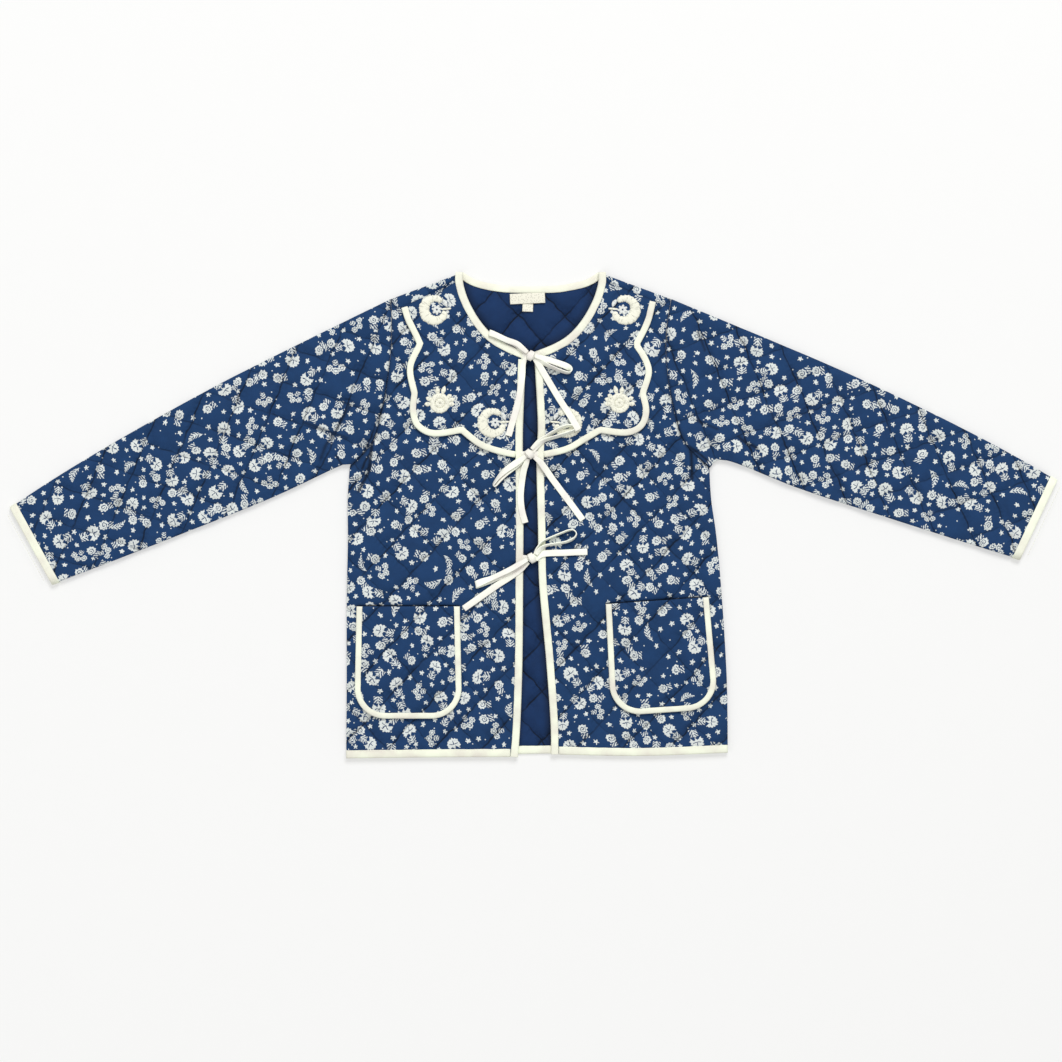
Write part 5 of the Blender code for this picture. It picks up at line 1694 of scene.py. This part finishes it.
class JACKET_OT_pockets(bpy.types.Operator):
    """Makes the two patch pockets"""

    bl_idname = "jacket.pockets"
    bl_label = "Pockets"

    def execute(self, context):
        cloth = context.scene.jacket_cloth
        for side, word in SIDES.items():
            edges = pocket_edges(side)
            outline = ring_of(edges["bound"], edges["mouth"])
            to_bound = distance_to(edges["bound"])
            to_mouth = distance_to(edges["mouth"])
            left, right = edges["bound"][0], edges["bound"][-1]

            def heights(x, y):
                rim = to_bound(x, y)
                inside = off_rim(rim)
                across = (math.dist((x, y), left) - math.dist((x, y), right)) / POCKET_MOUTH
                depth = to_mouth(x, y) / POCKET_DEEP
                gape = POCKET_GAPE * max(0.0, 1.0 - across**2) * max(0.0, 1.0 - depth) * inside
                low = OVER_BOTTOM + RIM_LIFT * at_rim(rim)
                high = OVER_TOP + cloth.over_puff / MM * pillow(body_place, x, y) * inside
                high -= 0.8 * beside(to_mouth(x, y), 3.0) ** 2
                return low + gape, high + gape

            piece = printed_panel("pocket", side, outline, body_place, heights)
        return {"FINISHED"}


class JACKET_OT_bindings(bpy.types.Operator):
    """Makes the bias bindings of the neck, edges, hem, cuffs, scallops and pockets"""

    bl_idname = "jacket.bindings"
    bl_label = "Bindings"

    def execute(self, context):
        back = back_edges()
        self.bind("neck_binding_back", back["neck"], 1, BACK_LIPS, BACK_NECK_LIP)
        self.bind("hem_binding_back", back["hem"], 1, BACK_LIPS, HEM_LIP)
        for side, word in SIDES.items():
            edges = front_edges(side)
            front = trimmed(edges["front"], end=NECK_LIP + GAP)
            bottom = (front[0][0] + (front[0][0] - front[1][0]) * 0.03, front[0][1] - GAP - STRIP)
            self.bind(f"edge_binding_{word}", [bottom] + front, -side, FRONT_LIPS, EDGE_LIP, NECK_LIPS)
            corner = (edges["neck"][0][0] - side * (GAP + STRIP), edges["neck"][0][1] - 0.3)
            self.bind(f"neck_binding_{word}", [corner] + edges["neck"], -side, NECK_LIPS, NECK_LIP)
            hem = trimmed(edges["hem"], end=EDGE_LIP + GAP)
            self.bind(f"hem_binding_{word}", hem, -side, FRONT_LIPS, HEM_LIP)
            scallop = trimmed(collar_edges(side)["scallop"], start=1.0, end=EDGE_LIP + SCALLOP_RUN_OFF)
            self.bind(f"scallop_binding_{word}", scallop, -side, OVER_LIPS, SCALLOP_LIP)
            self.bind(f"pocket_binding_{word}", pocket_edges(side)["bound"], 1, OVER_LIPS, POCKET_LIP)
            self.cuff(side, word)
        return {"FINISHED"}

    def bind(self, node, path, hand, lips, lip, over_lips=None):
        """Binds an edge. One that takes in the collar higher up has over_lips there, and a shut lower end."""
        crown = bpy.context.scene.jacket_trim.crown / MM

        def lips_at(x, y):
            share = ease((y - COLLAR_FOOT + GAP + STEP_BELOW) / STEP_RUN)
            return tuple(a + (b - a) * share for a, b in zip(lips, over_lips or lips))

        bm = bound_edge(path, hand, lips_at, lip, crown, float(len(node)), bool(over_lips))
        finish_piece(f"bias_{node}", bm, bias_cotton(), "ivory_binding", node)

    def cuff(self, side, word):
        """A ring folded over the end of the sleeve, flared as the sleeve is."""
        edges = sleeve_edges(side)
        upper, lower = Vector(edges["cuff"][0]).to_3d(), Vector(edges["cuff"][-1]).to_3d()
        wide = (lower - upper).length
        along = (lower - upper) / wide
        into = Vector((-along.y, along.x, 0.0)) * -side
        flares = []
        for end, next_in in ((upper, edges["upper"][-3]), (lower, edges["lower"][2])):
            run = Vector(next_in).to_3d() - end
            flares.append(run / run.dot(into))
        inner = wide - EDGE_ZONE
        stations = [EDGE_ZONE + (inner - EDGE_ZONE) * k / 24 for k in range(25)]
        under = [(0.0, SLEEVE_FOLD_LOW)] + [(s, 1.0) for s in stations] + [(wide, SLEEVE_FOLD_LOW)]
        over = [(0.0, SLEEVE_FOLD_HIGH)] + [(s, FRONT_TOP) for s in stations] + [(wide, SLEEVE_FOLD_HIGH)]
        around = under + over[::-1]
        reach = GAP + STRIP
        section = (
            (CUFF_LIP, GAP),
            (CUFF_LIP, reach - 0.15),
            (CUFF_LIP - 0.4, reach),
            (CUFF_LIP * 0.5, reach),
            (0.6, reach),
            (-0.4, reach - 0.1),
            (-reach + 0.1, reach - 0.6),
            (-reach, -0.2),
            (-reach + 0.1, -CUFF_WALL_DEPTH),
            (-GAP, -CUFF_WALL_DEPTH),
            (-GAP, GAP),
        )
        loop = around[-1:] + around + around[:1]
        rows = []
        for i in range(1, len(loop) - 1):
            out_s, out_z = inward(loop[i - 1 : i + 2], 1, -1)
            share = loop[i][0] / wide
            way = flares[0] * (1.0 - share) + flares[1] * share
            row = []
            for depth, off in section:
                point = upper + along * (loop[i][0] + out_s * off) + way * depth
                row.append((point.x, point.y, loop[i][1] + out_z * off))
            rows.append(row)
        long = lengths_of([row[0] for row in rows] + [rows[0][0]])
        bm = skinned(rows, long, ring=True)
        node = f"cuff_binding_{word}"
        finish_piece(f"bias_{node}", bm, bias_cotton(), "ivory_binding", node)


class JACKET_OT_labels(bpy.types.Operator):
    """Makes the bare neck label and size tab"""

    bl_idname = "jacket.labels"
    bl_label = "Labels"

    def execute(self, context):
        self.tape("neck_label", LABEL, BACK_TOP + GAP + LABEL_OVER_TAB)
        self.tape("size_tab", SIZE_TAB, BACK_TOP + GAP)
        return {"FINISHED"}

    def tape(self, node, place, low):
        """A strip of woven tape, with a little wave along it."""
        start, end, wide = place
        points = []
        for x, y in even([start, end], 1.0):
            wave = 0.25 + 0.25 * math.sin(x * 0.5 + y * 0.3)
            points.append((x, y, low + LABEL_THICK / 2.0 + wave))
        bm = ribbon(points, [wide] * len(points), LABEL_THICK)
        piece = finish_piece(f"tape_{node}", bm, label_tape(), "label_tape", node)
        math.dist(start, end) * MM


def satin_stroke(spine, widths, surface, rise):
    """A bar of satin stitch along a line, domed across, with its foot just in the cloth."""
    rows = []
    for i, (x, y) in enumerate(spine):
        in_x, in_y = inward(spine, i, 1)
        size = math.hypot(in_x, in_y)
        half = max(0.15, widths[i] / 2.0)
        row = []
        for k in range(9):
            share = -1.0 + k / 4.0
            px, py = x + in_x / size * half * share, y + in_y / size * half * share
            dome = min(rise, 0.9 * half) * math.sqrt(max(0.0, 1.0 - share**2))
            row.append((px, py, surface(px, py) + dome - 0.1))
        low_start, low_end = row[-1], row[0]
        row += [(low_start[0], low_start[1], low_start[2] - 0.4), (low_end[0], low_end[1], low_end[2] - 0.4)]
        rows.append(row)
    return skinned(rows, lengths_of(spine))


def petal(start, turn, length, width, surface, rise, bend=0.0, blunt=0.7):
    """A leaf-shaped bar of satin stitch from a point, along a heading in degrees."""
    heading = math.radians(turn)
    ahead = (math.cos(heading), math.sin(heading))
    spine, widths = [], []
    for k in range(13):
        share = k / 12.0
        aside = bend * math.sin(math.pi * share)
        x = start[0] + ahead[0] * length * share - ahead[1] * aside
        y = start[1] + ahead[1] * length * share + ahead[0] * aside
        spine.append((x, y))
        widths.append(width * math.sin(math.pi * min(1.0, 0.04 + 0.94 * share)) ** blunt)
    return satin_stroke(spine, widths, surface, rise)


def around(middle, reach, turn):
    return (
        middle[0] + reach * math.cos(math.radians(turn)),
        middle[1] + reach * math.sin(math.radians(turn)),
    )


class JACKET_OT_embroidery(bpy.types.Operator):
    """Embroiders the collar: crescent wreaths and round blooms in ivory satin stitch"""

    bl_idname = "jacket.embroidery"
    bl_label = "Embroidery"

    def execute(self, context):
        for side, word in SIDES.items():
            heights = collar_heights(side)

            def surface(x, y):
                return heights(x, y)[1]

            bm, hearts = bmesh.new(), bmesh.new()
            for x, y, turn in CRESCENTS[side]:
                self.crescent(bm, hearts, (x, y), turn, -side, surface)
            for x, y, turn in ROUND_BLOOMS[side]:
                self.round_bloom(bm, (x, y), turn, -side, surface)
            finish_piece(f"embroidery_{word}", bm, satin_thread(), "ivory_binding")
            finish_piece(f"embroidery_hearts_{word}", hearts, pale_thread(), "ivory_binding")
        return {"FINISHED"}

    def crescent(self, bm, hearts, middle, turn, hand, surface):
        """A wide wreath, closed towards its stem by a leaf, round a small flower."""
        radius, first, swept, cuts = WREATH
        spine, widths = [], []
        for k in range(cuts + 1):
            share = k / cuts
            taper = min(1.0, 0.3 + math.sin(math.pi * share) * 9.0) ** 0.5
            wide = (6.2 + 4.3 * math.sin(math.pi * share) ** 2 + 0.8 * share) * taper
            spine.append(around(middle, radius - wide / 2.0, turn + hand * (first + swept * share)))
            widths.append(wide + 2.2 * noise.noise((k * 0.47, middle[0], 7.0)))
        paste(bm, satin_stroke(spine, widths, surface, SATIN_RISE))
        start = around(middle, 13.6, turn + hand * 44.0)
        paste(hearts, petal(start, turn - hand * 66.0, 8.2, 4.4, surface, 1.0, bend=0.6 * hand))
        start = around(middle, 14.0, turn - hand * 20.0)
        paste(hearts, petal(start, turn + hand * 80.0, 3.6, 3.4, surface, LEAF_RISE))
        paste(bm, petal(around(middle, 7.6, turn), turn, 9.8, 2.4, surface, LEAF_RISE, blunt=0.25))
        heart = around(middle, 3.0, turn)
        for k in range(7):
            angle = turn + 10.0 + 51.4 * k
            paste(hearts, petal(around(heart, 0.8, angle), angle, 4.4, 3.0, surface, 0.8, blunt=0.5))

    def round_bloom(self, bm, middle, turn, hand, surface):
        """A full round flower in rings, with pointed leaves on one side."""
        for reach, wide in BLOOM_RINGS:
            ring, widths = [], []
            for k in range(BLOOM_CUTS + 1):
                ring.append(around(middle, reach, 360.0 / BLOOM_CUTS * k))
                widths.append(wide + 1.4 * noise.noise((k % BLOOM_CUTS * 0.8, middle[0], reach)))
            paste(bm, satin_stroke(ring, widths, surface, SATIN_RISE))
        for swing, length in BLOOM_LEAVES:
            angle = turn + hand * swing
            start = around(middle, 9.0, angle)
            paste(bm, petal(start, angle, length, 4.8, surface, LEAF_RISE, blunt=0.8))


class JACKET_OT_topstitching(bpy.types.Operator):
    """Sews the inner edge of every binding"""

    bl_idname = "jacket.topstitching"
    bl_label = "Topstitching"

    def execute(self, context):
        back = back_edges()
        rows = [(back["neck"], 1, BACK_NECK_LIP, BACK_LIPS[3]), (back["hem"], 1, HEM_LIP, BACK_LIPS[3])]
        self.sew("topstitching_back", rows)
        for side, word in SIDES.items():
            edges = front_edges(side)
            front = trimmed(edges["front"], start=3.0, end=NECK_LIP + 1.0)
            upper = [point for point in front if point[1] > COLLAR_FOOT + 1.0]
            lower = [point for point in front if point[1] < COLLAR_FOOT - 8.0]
            hem = trimmed(edges["hem"], start=1.0, end=EDGE_LIP + 1.5)
            scallop = collar_edges(side)["scallop"]
            scallop = trimmed(scallop, start=2.0, end=EDGE_LIP + SCALLOP_RUN_OFF + 1.0)
            cuff = trimmed(sleeve_edges(side)["cuff"], start=5.0, end=5.0)
            rows = (
                (upper, -side, EDGE_LIP, NECK_LIPS[3]),
                (lower, -side, EDGE_LIP, FRONT_LIPS[3]),
                (edges["neck"], -side, NECK_LIP, NECK_LIPS[3]),
                (hem, -side, HEM_LIP, FRONT_LIPS[3]),
                (scallop, -side, SCALLOP_LIP, OVER_LIPS[3]),
                (pocket_edges(side)["bound"], 1, POCKET_LIP, OVER_LIPS[3]),
                (cuff, side, CUFF_LIP, FRONT_TOP + GAP + STRIP),
            )
            self.sew(f"topstitching_{word}", rows)
        return {"FINISHED"}

    def sew(self, name, rows):
        """Rows of stitches just inside the inner edges of bindings: edge, hand, lip and height of each."""
        long = bpy.context.scene.jacket_trim.stitch / MM
        half_sizes = (long / 2.0 * MM, STITCH_HALF_WIDE * MM, STITCH_HALF_HIGH * MM, 1.0)
        bm = bmesh.new()
        for path, hand, lip, height in rows:
            path = even(path, 1.0)
            line = []
            for i, (x, y) in enumerate(path):
                in_x, in_y = inward(path, i, hand)
                line.append((x + in_x * (lip - STITCH_INSET), y + in_y * (lip - STITCH_INSET)))
            line = even(line, (long + STITCH_SPACE) / 2.0)
            row = bmesh.new()
            for a, here, b in zip(line[::2], line[1::2], line[2::2]):
                turn = math.atan2(b[1] - a[1], b[0] - a[0])
                spot = Matrix.Translation(Vector((*here, height + STITCH_RISE)) * MM)
                place = spot @ Matrix.Rotation(turn, 4, "Z") @ Matrix.Diagonal(half_sizes)
                bmesh.ops.create_uvsphere(row, u_segments=6, v_segments=4, radius=1.0, matrix=place)
            paste(bm, row)
        finish_piece(name, bm, bias_cotton(), "ivory_binding")


class JACKET_PT_panel(bpy.types.Panel):
    bl_idname = "JACKET_PT_panel"
    bl_label = "Quilted jacket"
    bl_space_type = "VIEW_3D"
    bl_region_type = "UI"
    bl_category = "Jacket"

    def draw(self, context):
        for group in (context.scene.jacket_cloth, context.scene.jacket_trim, context.scene.jacket_stage):
            box = self.layout.box()
            for name in group.__annotations__:
                box.prop(group, name)
        for operator in OPERATORS:
            self.layout.operator(operator.bl_idname)


GROUPS = {"jacket_cloth": JacketCloth, "jacket_trim": JacketTrim, "jacket_stage": JacketStage}
OPERATORS = (
    JACKET_OT_stage,
    JACKET_OT_ties,
    JACKET_OT_bindings,
    JACKET_OT_topstitching,
    JACKET_OT_embroidery,
    JACKET_OT_back,
    JACKET_OT_fronts,
    JACKET_OT_sleeves,
    JACKET_OT_collar,
    JACKET_OT_pockets,
    JACKET_OT_labels,
)


def register():
    for name, group in GROUPS.items():
        bpy.utils.register_class(group)
        setattr(bpy.types.Scene, name, PointerProperty(type=group))
    for item in (*OPERATORS, JACKET_PT_panel):
        bpy.utils.register_class(item)


def unregister():
    for item in (JACKET_PT_panel, *OPERATORS[::-1]):
        bpy.utils.unregister_class(item)
    for name, group in GROUPS.items():
        delattr(bpy.types.Scene, name)
        bpy.utils.unregister_class(group)


def main():
    register()
    bpy.ops.jacket.stage()
    bpy.ops.jacket.ties()
    bpy.ops.jacket.bindings()
    bpy.ops.jacket.topstitching()
    bpy.ops.jacket.embroidery()
    bpy.ops.jacket.back()
    bpy.ops.jacket.fronts()
    bpy.ops.jacket.sleeves()
    bpy.ops.jacket.collar()
    bpy.ops.jacket.pockets()
    bpy.ops.jacket.labels()


if __name__ == "__main__":
    main()
